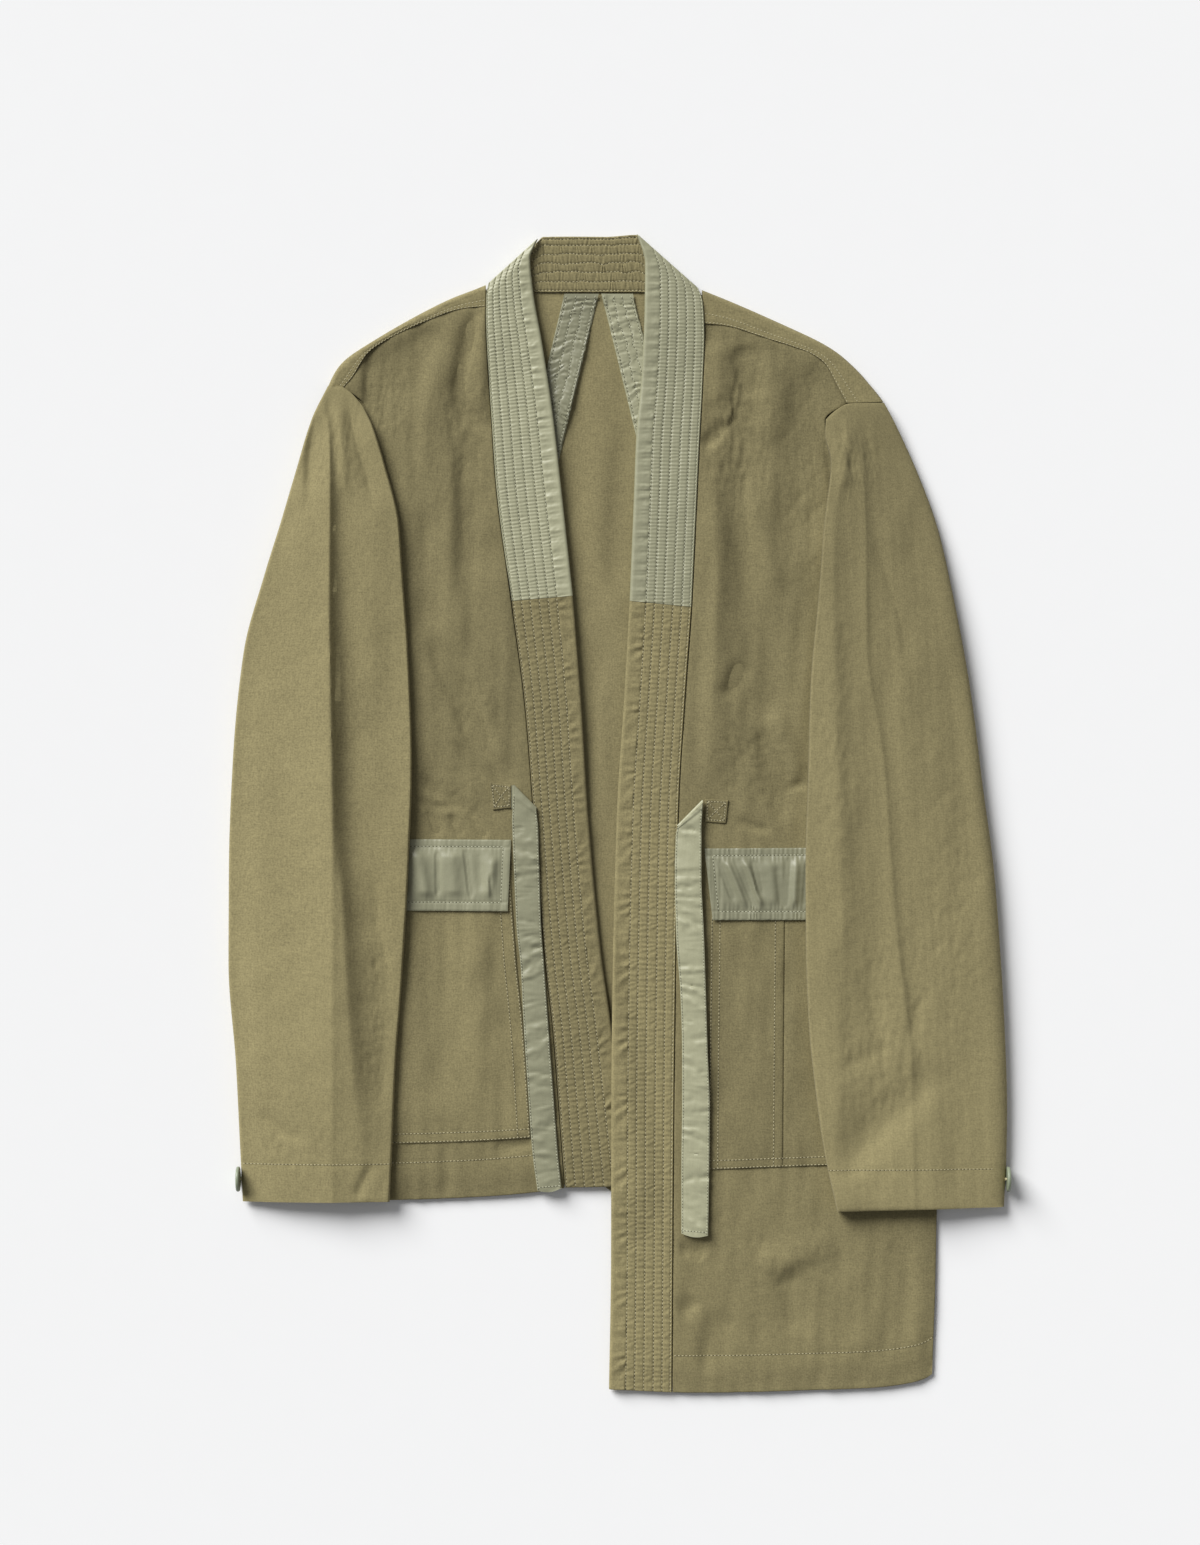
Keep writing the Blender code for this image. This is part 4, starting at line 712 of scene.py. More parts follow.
def to_object(name, points, faces, material, weave=None):
    """A smooth mesh. weave gives the points' places on the cloth, for its material."""
    mesh = bpy.data.meshes.new(name)
    mesh.from_pydata((np.asarray(points) * MM).tolist(), [], faces)
    mesh.materials.append(material)
    if weave is not None:
        layer = mesh.attributes.new("weave", "FLOAT_VECTOR", "POINT")
        layer.data.foreach_set("vector", np.ascontiguousarray(weave, dtype=np.float32).ravel())
    work = bmesh.new()
    work.from_mesh(mesh)
    if work.calc_volume(signed=True) < 0.0:
        bmesh.ops.reverse_faces(work, faces=work.faces)
        work.to_mesh(mesh)
    work.free()
    mesh.shade_smooth()
    mesh.set_sharp_from_angle(angle=math.radians(50.0))
    return add_object(name, mesh)


def shell(name, outer, inner, material, weave, every, closed=False):
    """A closed shell. The inner face has only some of the outer one's columns."""
    rows, columns = outer.shape[:2]
    keep = list(range(0, columns, every))
    if not closed and keep[-1] != columns - 1:
        keep.append(columns - 1)
    points = np.concatenate([outer.reshape(-1, 3), inner[:, keep].reshape(-1, 3)])
    numbers = np.arange(rows * columns).reshape(rows, columns)
    below = rows * columns + np.arange(rows * len(keep)).reshape(rows, len(keep))
    coords = np.concatenate([weave.reshape(-1, 2), weave[:, keep].reshape(-1, 2)])
    own_shift = float(sum(map(ord, name)) % 97)
    coords = np.column_stack([coords, np.full(len(coords), own_shift)])
    ends = list(keep)
    if closed:
        numbers = np.column_stack([numbers, numbers[:, :1]])
        below = np.column_stack([below, below[:, :1]])
        ends.append(columns)
    faces = quads(numbers) + quads(below[:, ::-1])
    for left, (start, end) in enumerate(zip(ends, ends[1:])):
        faces.append(numbers[0, start:end + 1][::-1].tolist()
                     + [int(below[0, left]), int(below[0, left + 1])])
        faces.append(numbers[-1, start:end + 1].tolist()
                     + [int(below[-1, left + 1]), int(below[-1, left])])
    if not closed:
        faces += quads(np.column_stack([below[:, 0], numbers[:, 0]]))
        faces += quads(np.column_stack([numbers[:, -1], below[:, -1]]))
    return to_object(name, points, faces, material, coords)


def join_height(grid, height):
    """Places and heights as x, y, z points."""
    return np.dstack([grid, height])


class Threads:
    """Rows of stitches: raised threads joined into one mesh, and flat dark marks of painted shade
    where the thread dives into the cloth, joined into another.
    """

    LENGTH = 1.9
    HALF_WIDTH = 0.34
    HALF_HEIGHT = 0.22
    RISE = 0.12
    SHOULDER = 0.28       # where a thread reaches its full width, as a part of its length
    SUNK = 0.6            # how deep its ends go, as a part of its half height
    JITTER = 0.08
    # Size of each dark mark of painted shade where the thread dives into the cloth.
    HOLE_SHADE = 0.5
    HOLE_SHADE_WIDTH = 0.8      # as a part of the painted-shade mark's length
    HOLE_SHADE_HEIGHT = 0.06

    def __init__(self):
        self.rows = []

    def add(self, path, lift=THREAD_LIFT, pitch=STITCH_PITCH, holes=True):
        """path is a row of x, y, z points on the cloth."""
        path = path + np.array([0.0, 0.0, lift])
        lengths = lengths_along(path)
        count = int(lengths[-1] / pitch)
        if count < 1:
            return
        middles = (np.arange(count) + 0.5) * lengths[-1] / count
        draw = np.random.default_rng(int(1000 * abs(path[0]).sum()) % 100000)
        middles = middles + draw.normal(0.0, self.JITTER, count)
        self.rows.append((path, lengths, middles, holes))

    def bodies(self, start, end, side):
        """Points of threads from start to end, with four corners at each shoulder."""
        up = np.array([0.0, 0.0, self.HALF_HEIGHT])
        rise = np.array([0.0, 0.0, self.RISE])
        near = start + self.SHOULDER * (end - start) + rise
        far = start + (1.0 - self.SHOULDER) * (end - start) + rise
        return np.stack([start - up * self.SUNK, near + side, near + up, near - side, near - up,
                         far + side, far + up, far - side, far - up, end - up * self.SUNK], axis=1)

    def needle_hole_shades(self, spot, lead, side):
        """Points of flat dark diamonds on the cloth: painted shade where the thread dives in."""
        spot = spot + np.array([0.0, 0.0, self.HALF_HEIGHT])
        flat = np.array([0.0, 0.0, self.HOLE_SHADE_HEIGHT])
        wide = side / self.HALF_WIDTH * self.HOLE_SHADE * self.HOLE_SHADE_WIDTH
        long_way = lead * self.HOLE_SHADE
        return np.stack([spot - flat, spot + long_way, spot + wide, spot - long_way,
                         spot - wide, spot + flat], axis=1)

    def make(self, name, material, hole_shade_name, hole_shade_material):
        """The threads of all rows, and the painted shade where they dive into the cloth, as two
        objects.
        """
        bodies, holes = [], []
        half = self.LENGTH / 2
        to_hole = half + (STITCH_PITCH - self.LENGTH) / 2
        for path, lengths, middles, pierced in self.rows:
            start = points_at(path, lengths, middles - half)
            end = points_at(path, lengths, middles + half)
            lead = end - start
            lead /= np.maximum(np.linalg.norm(lead, axis=1), 1e-6)[:, None]
            side = np.stack([-lead[:, 1], lead[:, 0], np.zeros(len(lead))], axis=1)
            side *= self.HALF_WIDTH
            bodies.append(self.bodies(start, end, side))
            if pierced:
                # a dark diamond of painted shade where the thread dives into the cloth
                spot = points_at(path, lengths, middles + to_hole)
                holes.append(self.needle_hole_shades(spot, lead, side))
        body_faces, hole_shade_faces = [], []
        for corner, following in zip((1, 2, 3, 4), (2, 3, 4, 1)):
            body_faces += [[0, corner, following],
                           [corner, 4 + corner, 4 + following, following],
                           [4 + corner, 9, 4 + following]]
            hole_shade_faces += [[0, following, corner], [5, corner, following]]
        return [copies(name, bodies, body_faces, material),
                copies(hole_shade_name, holes, hole_shade_faces, hole_shade_material)]


def copies(name, parts, faces, material):
    """One mesh of many small bodies with the same faces."""
    points = np.concatenate(parts)
    each = points.shape[1]
    all_faces = [[corner + each * number for corner in face]
                 for number in range(len(points)) for face in faces]
    flat_points = points.reshape(-1, 3)
    return to_object(name, flat_points, all_faces, material, flat_points)


# ---------------------------------------------------------------- materials


OLIVE = (0.305, 0.262, 0.130)
SATIN = (0.335, 0.330, 0.212)
OLIVE_THREAD = (0.46, 0.415, 0.25)
SATIN_THREAD = (0.48, 0.48, 0.34)
# near-black painted shade where threads dive into the cloth and in the buttons' eye openings
NEEDLE_HOLE_SHADE = (0.05, 0.043, 0.02)
BUTTON_COLOR = (0.24, 0.275, 0.19)
PAPER = (0.93, 0.93, 0.93)


def new_material(name, color, roughness):
    made = bpy.data.materials.new(name)
    made.use_nodes = True
    shader = made.node_tree.nodes["Principled BSDF"]
    shader.inputs["Base Color"].default_value = (*color, 1.0)
    shader.inputs["Roughness"].default_value = roughness
    return made, made.node_tree, shader


def set_gloss(shader, sheen, sheen_roughness, specular):
    """How cloth shines."""
    shader.inputs["Sheen Weight"].default_value = sheen
    shader.inputs["Sheen Roughness"].default_value = sheen_roughness
    shader.inputs["Specular IOR Level"].default_value = specular


def math_node(tree, kind, first, second):
    """A sum or product of sockets and numbers."""
    node = tree.nodes.new("ShaderNodeMath")
    node.operation = kind
    for socket, value in zip(node.inputs, (first, second)):
        if isinstance(value, (int, float)):
            socket.default_value = value
        else:
            tree.links.new(value, socket)
    return node.outputs[0]


def noise_node(tree, vector, scale, detail):
    node = tree.nodes.new("ShaderNodeTexNoise")
    node.inputs["Scale"].default_value = scale
    node.inputs["Detail"].default_value = detail
    tree.links.new(vector, node.inputs["Vector"])
    return node


def streaks(tree, source, across, lengthwise, detail, shift):
    """Noise on the weave coordinates, so many millimetres wide and long."""
    scale = tree.nodes.new("ShaderNodeVectorMath")
    scale.operation = "MULTIPLY_ADD"
    scale.inputs[1].default_value = (1.0 / across, 1.0 / lengthwise, 1.0)
    scale.inputs[2].default_value = (shift, -shift, shift)
    tree.links.new(source, scale.inputs[0])
    noise = noise_node(tree, scale.outputs[0], 1.0, detail)
    noise.inputs["Roughness"].default_value = 0.6
    return noise.outputs["Fac"]


def mottle(tree, scale, detail):
    """Noise on an object's own coordinates."""
    coords = tree.nodes.new("ShaderNodeTexCoord")
    return noise_node(tree, coords.outputs["Object"], scale, detail).outputs["Fac"]


def weave_source(tree):
    """The points' places on the cloth."""
    node = tree.nodes.new("ShaderNodeAttribute")
    node.attribute_name = "weave"
    return node.outputs["Vector"]


def tone(tree, shader, color, parts):
    """Base colour made lighter and darker by the sum of weighted values around 1: noises, and in cloth
    also painted light and shade along its length.
    """
    total = 1.0
    for weight, value in parts:
        centred = math_node(tree, "SUBTRACT", value, 0.5)
        total = math_node(tree, "ADD", math_node(tree, "MULTIPLY", centred, weight), total)
    paint = tree.nodes.new("ShaderNodeVectorMath")
    paint.operation = "SCALE"
    paint.inputs[0].default_value = color
    tree.links.new(total, paint.inputs["Scale"])
    tree.links.new(paint.outputs[0], shader.inputs["Base Color"])


def add_bump(tree, shader, height, strength, distance):
    bump = tree.nodes.new("ShaderNodeBump")
    bump.inputs["Strength"].default_value = strength
    bump.inputs["Distance"].default_value = distance
    tree.links.new(height, bump.inputs["Height"])
    tree.links.new(bump.outputs["Normal"], shader.inputs["Normal"])


def length_part(tree, source, painted_light_along):
    """Painted light and shade: how much lighter or darker the cloth is made steadily along its length.
    """
    split = tree.nodes.new("ShaderNodeSeparateXYZ")
    tree.links.new(source, split.inputs[0])
    way = math_node(tree, "DIVIDE", split.outputs["Y"], SLEEVE_LENGTH)
    return painted_light_along, math_node(tree, "ADD", way, 0.5)


def olive_cloth(name, painted_light_tint=1.0, painted_light_along=0.0):
    """Plain-woven linen and cotton with uneven threads both ways."""
    # painted light and shade: this piece's cloth made lighter or darker for how the light falls on it
    color = tuple(painted_light_tint * part for part in OLIVE)
    made, tree, shader = new_material(name, color, roughness=0.86)
    set_gloss(shader, sheen=0.05, sheen_roughness=0.6, specular=0.15)
    source = weave_source(tree)
    warp = streaks(tree, source, across=1.0, lengthwise=8.0, detail=2.0, shift=3.1)
    weft = streaks(tree, source, across=6.0, lengthwise=1.0, detail=2.0, shift=8.4)
    fine = streaks(tree, source, across=1.3, lengthwise=1.3, detail=3.0, shift=5.2)
    patch = streaks(tree, source, across=46.0, lengthwise=90.0, detail=3.0, shift=1.7)
    # the last part is painted light and shade along the length
    tone(tree, shader, color, [(0.44, warp), (0.38, weft), (1.0, fine), (0.2, patch),
                               length_part(tree, source, painted_light_along)])
    height = math_node(tree, "ADD", math_node(tree, "ADD", warp, weft), fine)
    add_bump(tree, shader, height, strength=0.35, distance=0.12 * MM)
    return made


def satin_cloth(name, painted_light_tint=1.0, painted_light_along=0.0):
    """Dense satin with a soft gloss and fine lengthwise lines."""
    # painted light and shade: this piece's cloth made lighter or darker for how the light falls on it
    color = tuple(painted_light_tint * part for part in SATIN)
    made, tree, shader = new_material(name, color, roughness=0.44)
    set_gloss(shader, sheen=0.1, sheen_roughness=0.4, specular=0.5)
    source = weave_source(tree)
    lines = streaks(tree, source, across=0.7, lengthwise=14.0, detail=2.0, shift=2.2)
    grain = streaks(tree, source, across=1.0, lengthwise=0.8, detail=2.0, shift=6.6)
    patch = streaks(tree, source, across=20.0, lengthwise=30.0, detail=2.0, shift=4.4)
    # the last part is painted light and shade along the length
    tone(tree, shader, color, [(0.16, lines), (0.26, grain), (0.08, patch),
                               length_part(tree, source, painted_light_along)])
    height = math_node(tree, "ADD", lines, grain)
    add_bump(tree, shader, height, strength=0.2, distance=0.08 * MM)
    return made


def thread(name, color):
    """Twisted thread with a fine grain."""
    made, tree, shader = new_material(name, color, roughness=0.7)
    grain = streaks(tree, weave_source(tree), across=0.6, lengthwise=0.6, detail=2.0, shift=1.1)
    tone(tree, shader, color, [(0.5, grain)])
    return made


def button_plastic():
    """Turned plastic with a faint mottle."""
    made, tree, shader = new_material("button_plastic", BUTTON_COLOR, roughness=0.38)
    tone(tree, shader, BUTTON_COLOR, [(0.2, mottle(tree, scale=260.0, detail=3.0))])
    return made


def floor_paper():
    """Plain white paper."""
    made, tree, shader = new_material("floor_paper", PAPER, roughness=0.9)
    tone(tree, shader, PAPER, [(0.01, mottle(tree, scale=40.0, detail=2.0))])
    return made


# A look for each CAD node. All pieces share one olive cloth and one satin: the first number is painted
# light and shade, making each piece lighter or darker for how the light falls on it, and the second is
# painted light and shade that grows steadily along its length.
LOOKS = {
    "sleeve_short_side": olive_cloth("olive_sleeve_short", 0.89, 0.12),
    "sleeve_long_side": olive_cloth("olive_sleeve_long", 0.69, 0.42),
    "front_short_side": olive_cloth("olive_front_short", 0.72, -0.05),
    "front_long_side": olive_cloth("olive_front_long", 0.72, -0.12),
    "back": olive_cloth("olive_back", 0.83),
    "tab_short_side": olive_cloth("olive_tab", 0.64),
    "neck_band": olive_cloth("olive_neck", 0.77),
    "band_lower_short_side": olive_cloth("olive_band_short", 0.74),
    "band_lower_long_side": olive_cloth("olive_band_long", 0.87, 0.1),
    "pocket_short_side": olive_cloth("olive_pocket_short", 0.82),
    "pocket_long_side": olive_cloth("olive_pocket_long", 0.70),
    "band_upper_short_side": satin_cloth("satin_band_short", 1.12),
    "band_upper_long_side": satin_cloth("satin_band_long", 0.98, -0.1),
    "strap_short_side": satin_cloth("satin_strap_short", 0.75),
    "strap_long_side": satin_cloth("satin_strap_long", 1.04),
    "flap_short_side": satin_cloth("satin_flap_short", 0.86),
    "flap_long_side": satin_cloth("satin_flap_long", 0.72),
    "tie_short_side": satin_cloth("satin_tie_short", 0.84),
    "tie_long_side": satin_cloth("satin_tie_long", 1.1),
    "olive_thread": thread("olive_thread", OLIVE_THREAD),
    "satin_thread": thread("satin_thread", SATIN_THREAD),
    # painted shade, near black, where threads dive into the cloth and in the buttons' eye openings
    "hole": thread("needle_hole_shade", NEEDLE_HOLE_SHADE),
    "button": button_plastic(),
}
LOOKS["tab_long_side"] = LOOKS["tab_short_side"]
SEWN = {"olive_cloth": Threads(), "satin": Threads()}
PILE = Pile()


def finish_piece(made, node):
    """Hangs a piece of cloth under the root body and hides the CAD node that it stands for."""
    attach(made, "root")
    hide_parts(node)


def grid_area(grid):
    """Area of a grid of places in square millimetres."""
    first = grid[:-1, 1:] - grid[1:, :-1]
    second = grid[1:, 1:] - grid[:-1, :-1]
    return 0.5 * np.abs(first[..., 0] * second[..., 1] - first[..., 1] * second[..., 0]).sum()


def flat_size(grid):
    """Width and length of the rectangle that a grid's cloth is cut from."""
    low = grid.reshape(-1, 2).min(axis=0)
    high = grid.reshape(-1, 2).max(axis=0)
    return high - low


def lay_piece(name, node, outer, inner, weave, every, length=None, width=None):
    """A shell of cloth for a CAD node, laid on the pile; the size and area of its cut are worked out,
    from a strip's length and width where given, but not used.
    """
    made = shell(name, outer, inner, LOOKS[node], weave, every)
    PILE.lay(outer)
    places = outer[:, :, :2]
    flat, area = flat_size(places), grid_area(places)
    if length:
        flat, area = (width, length), min(area, width * length)
    finish_piece(made, node)


# ---------------------------------------------------------------- the back


# A line of places along a shoulder, with the way forward and the end at the seam of each.
Shoulder = namedtuple("Shoulder", "centres towards ends")
SHOULDER_COLUMNS = 64
NECK_COLUMNS = 36
BACK_ROWS = 114
BACK_LOWEST = 1.15
BACK_HIGHEST = 3.3
BACK_RIM = 1.3            # height at its edges, from where its upper limit rises by a slope
BACK_RIM_SLOPE = 0.07


def shoulder(fold_line, seam_line):
    """Where the back turns over a shoulder: centres of the turn, its way forward and its end."""
    parts = np.linspace(0.0, 1.0, SHOULDER_COLUMNS)
    folds = along(fold_line, parts)
    seams = along(seam_line, parts)
    towards = seams - folds
    towards /= np.linalg.norm(towards, axis=1)[:, None]
    return Shoulder(folds + towards * (SHOULDER_TOP / 2), towards, seams + towards * YOKE_LAP)


def back_grid(short_centres, long_centres):
    """Places of the flat part of the back, between its four outlines."""
    neck_x = np.linspace(-102.0, 62.0, NECK_COLUMNS)
    neck = np.column_stack([neck_x, np.full(NECK_COLUMNS, NECK_SEAM_Y)])
    upper = np.concatenate([short_centres, neck, long_centres])
    lengths = lengths_along(upper)
    parts = lengths / lengths[-1]
    down = np.linspace(0.0, 1.0, BACK_ROWS)
    short_edge = along([short_centres[0]] + BACK_SHORT_EDGE, down)
    long_edge = along([long_centres[-1]] + BACK_LONG_EDGE, down)
    hem = along(BACK_HEM, parts)
    level = (1.0 - down)[:, None, None] * upper[None] + down[:, None, None] * hem[None]
    ends = ((1.0 - parts)[None, :, None] * (short_edge - level[:, 0])[:, None]
            + parts[None, :, None] * (long_edge - level[:, -1])[:, None])
    return level + ends


def at_height(places, height):
    """Places with one height for all, or with a height each."""
    return np.column_stack([places, np.full(len(places), height)])


def shoulder_rows(turn, seed):
    """Outer and inner rows of the cloth that turns over a shoulder and goes on to its seam."""
    radius = SHOULDER_TOP / 2
    inside = radius - CLOTH
    outer, inner = [], []
    for degrees in range(-90, 91, 30):
        angle = math.radians(degrees)
        shift = -turn.towards * math.cos(angle)
        outer.append(at_height(turn.centres + shift * radius, radius * (1 + math.sin(angle))))
        inner.append(at_height(turn.centres + shift * inside, radius + inside * math.sin(angle)))
    for part in (0.08, 0.2, 0.35, 0.5, 0.65, 0.8, 0.9, 0.96, 1.0):
        places = turn.centres + (turn.ends - turn.centres) * part
        dent = (groove(part - 0.65, run=0.07, depth=0.3)
                + groove(part - 0.96, run=0.04, depth=0.25))
        bend = waves(*places.T, seed, height=0.14, across=22.0, lengthwise=22.0)
        level = SHOULDER_TOP - dent + bend - 0.1 * part ** 2
        outer.append(at_height(places, level))
        inner.append(at_height(places, level - CLOTH * (1.0 - 0.3 * part)))
    return np.array(outer), np.array(inner)


def back():
    """The back lies flat and turns over each shoulder to the forward seam."""
    turns = [shoulder(SHORT_SHOULDER_FOLD, SHORT_SHOULDER_SEAM),
             shoulder(LONG_SHOULDER_FOLD, LONG_SHOULDER_SEAM)]
    grid = back_grid(turns[0].centres[::-1], turns[1].centres)
    x, y = plan(grid)
    top = (BACK_TOP + fold_height(BACK_FOLDS, x, y)
           + waves(x, y, seed=5, height=0.16, across=40.0, lengthwise=80.0))
    top = np.clip(top, BACK_LOWEST, BACK_HIGHEST)
    top = np.minimum(top, BACK_RIM + BACK_RIM_SLOPE * edge_distance(grid))
    outer = join_height(grid, np.maximum(top - CLOTH, 0.05))
    inner = join_height(grid, top)
    shoulders = [shoulder_rows(turn, seed) for seed, turn in enumerate(turns, start=9)]
    made = join_shoulders(outer, inner, shoulders)
    PILE.lay(inner)
    area = grid_area(grid)
    for rows, _ in shoulders:
        area += grid_area(rows[:, :, :2])
        PILE.lay(rows)
        for seam_row in (-5, -2):
            SEWN["olive_cloth"].add(rows[seam_row], 0.05, holes=False)
    finish_piece(made, "back")


def join_shoulders(outer, inner, shoulders):
    """One closed shell of the flat back and both shoulders."""
    total = outer.shape[0] * outer.shape[1]
    numbers = np.arange(total).reshape(outer.shape[:2])
    outs = [outer.reshape(-1, 3)]
    inns = [inner.reshape(-1, 3)]
    faces = quads(numbers)
    for number, (wrap_out, wrap_in) in enumerate(shoulders):
        count = wrap_out.shape[1]
        first = numbers[0, :count][::-1] if number == 0 else numbers[0, -count:]
        added = total + np.arange((len(wrap_out) - 1) * count).reshape(-1, count)
        stacked = np.concatenate([first[None], added])
        faces += quads(stacked if number == 0 else stacked[:, ::-1])
        total += added.size
        outs.append(wrap_out[1:].reshape(-1, 3))
        inns.append(wrap_in[1:].reshape(-1, 3))
    edges = set()
    for face in faces:
        edges.update(zip(face, face[1:] + face[:1]))
    walls = sorted([end, start, total + start, total + end] for start, end in edges
                   if (end, start) not in edges)
    under = [[total + corner for corner in reversed(face)] for face in faces]
    points = np.concatenate(outs + inns)
    own_shift = 11.0
    coords = np.column_stack([points[:, :2], np.full(len(points), own_shift)])
    return to_object("back_cloth", points, faces + under + walls, LOOKS["back"], coords)


# ---------------------------------------------------------------- the collar band and straps


BAND_WIDTH = 50.0
BAND_STEP = 0.88          # distance between a band's columns
NECK_WIDTH = 44.0
NECK_CREASES = ((-66.0, 0.9), (-59.5, 1.0), (-54.0, 0.6))   # x and depth
STRAP_WIDTH = 27.0
STRAP_CUT = 28.0
STRAP_ROWS = [0.08, 0.36, 0.64, 0.92]
STRAP_LOWEST = 2.75
STRAP_HIGHEST = 4.3


def channel_heights(part, rows, width):
    """Crown between two rows of stitches and a narrow dip along each row."""
    marks = np.array([0.0] + list(rows) + [1.0])
    span = np.clip(np.searchsorted(marks, part, side="right") - 1, 0, len(marks) - 2)
    place = (part - marks[span]) / (marks[span + 1] - marks[span])
    crown = 1.0 - np.abs(2.0 * place - 1.0) ** 5
    to_row = np.min(np.abs(part[..., None] - np.array(rows)), axis=-1) * width
    return span, place, crown, groove(to_row, run=0.55, depth=0.22)


def band_columns(width, rows, step):
    """Places across a band: at each row of stitches, and evenly between."""
    marks = [0.0] + list(rows) + [1.0]
    places = [np.array([0.0, 0.25, 0.7]) / width]
    for low, high in zip(marks, marks[1:]):
        count = max(2, int(round((high - low) * width / step)))
        start = places[-1][-1] if low == 0.0 else low
        places.append(np.linspace(start, high, count + 1)[1:])
    return np.concatenate(places)


def lap_lift(x, y):
    """How far the long band is lifted by the short band beneath it."""
    edge = smooth(SHORT_BAND_LOWER, "inner_y", np.ravel(y))[:, 0].reshape(np.shape(y))
    run = 14.0 + 14.0 * ramp(y, -100, -200)
    below = ramp(y, -25, -85) * ramp(y, -345, -300)
    return LAP_LIFT * ease((run - (x - edge - 2.0)) / run) * below


def band_under(grid, hem_y, lapped, on_short_side):
    """Height of the underside of a band."""
    x, y = plan(grid)
    under = np.full(x.shape, BAND_UNDER)
    if lapped:
        under += lap_lift(x, y)
    under -= (BAND_UNDER - BAND_HEM_UNDER) * ease((hem_y + BAND_HEM_RUN - y) / BAND_HEM_RUN)
    under += NECK_LIFT * ramp(y, 340, 400)
    if on_short_side:
        away = distance_to(grid, grid[:, :1])
        hold = ramp(y, -10, 50) * ramp(y, 404, 364)
        under += INNER_EDGE_LIFT * (np.exp(-away / 12.0) * hold)
    return under


def band_ripple(grid, place, span, crown, satin, mirror):
    """Puckers of a band's channels: coarse in the wide one at its folded edge, fine in the rest."""
    x, y = plan(grid)
    level = straight_way(grid)
    wide, narrow = (SATIN_WIDE, SATIN_NARROW) if satin else (OLIVE_WIDE, OLIVE_NARROW)
    ripple = np.zeros(x.shape)
    for channel in range(len(BAND_ROWS) + 1):
        at_fold = channel == 0
        every_other = 0.4 if channel % 2 == 0 and not at_fold else 1.0
        hold = ease(place * 1.2 + 0.1) if at_fold else 0.55 + 0.45 * crown
        for number, kind in enumerate(wide if at_fold else narrow):
            made = puckers(level, place, kind.period, kind.slant * mirror * every_other,
                           kind.depth, seed=31 * channel + number, crisp=0.6 if at_fold else 0.0)
            uneven = waves(x, y, seed=23 + number, height=0.3, across=11.0, lengthwise=8.0)
            made = made * hold * np.clip(0.95 + uneven, 0.3, 1.6)
            ripple += np.where(span == channel, made, 0.0)
    return ripple


def band_strip(name, node, sections, hem_y, step):
    """One length of the quilted collar band with its rows of stitches and cross puckers."""
    satin = "upper" in node
    on_short_side = "short" in node
    parts = band_columns(BAND_WIDTH, BAND_ROWS, BAND_STEP)
    first, last = sections[0].inner_y, sections[-1].inner_y
    levels = last - spread(last - first, step)
    line = smooth(sections, "inner_y", levels)
    grid = across_strip(line[:, 0:2], line[:, 2:4], parts)
    x, y = plan(grid)
    part = np.broadcast_to(parts, x.shape)
    span, place, crown, dip = channel_heights(part, BAND_ROWS, BAND_WIDTH)
    way = way_along(grid)
    under = band_under(grid, hem_y, node == "band_lower_long_side", on_short_side)
    ripple = band_ripple(grid, place, span, crown, satin, -1.0 if on_short_side else 1.0)
    if satin:
        ripple *= ramp(way, 1, 8)
    top = under + BAND_GROOVE + (BAND_CROWN - BAND_GROOVE) * crown - dip + ripple
    top += waves(x, y, seed=17, height=0.12, across=60.0, lengthwise=60.0)
    top -= (edge_fall(distance_to(grid, grid[:, :1]), run=2.4, depth=1.5)
            + edge_fall(distance_to(grid, grid[:, -1:]), run=1.0, depth=0.7))
    top -= edge_fall(way if satin else way[-1] - way, run=1.6, depth=0.8)
    if satin:
        at_neck = ease(1.0 - way / 14.0)
        top -= 1.4 * at_neck
        under = under * (1.0 - at_neck) + (BAND_CROWN + SEAM + 0.4) * at_neck
    under = np.minimum(under, top - 0.8)
    outer = join_height(grid, top)
    slot = "satin" if satin else "olive_cloth"
    lay_piece(name, node, outer, join_height(grid, under),
              np.dstack([part * BAND_WIDTH, way]), every=len(parts) // 4,
              length=way[-1].mean(), width=BAND_WIDTH)
    for row in BAND_ROWS:
        path = outer[8 if satin else 2:-2, nearest(parts, row)]
        SEWN[slot].add(path, 0.2, holes=row < BAND_ROWS[-1])


def bands():
    """Each side's band: main cloth from the hem to the chest, and satin from there to the neck."""
    for side, lower, upper in (("short_side", SHORT_BAND_LOWER, SHORT_BAND_UPPER),
                               ("long_side", LONG_BAND_LOWER, LONG_BAND_UPPER)):
        hem_y = lower[0].inner_y
        band_strip("quilted_band_" + side, "band_lower_" + side, lower, hem_y, step=1.0)
        band_strip("satin_band_" + side, "band_upper_" + side, upper, hem_y, step=0.66)


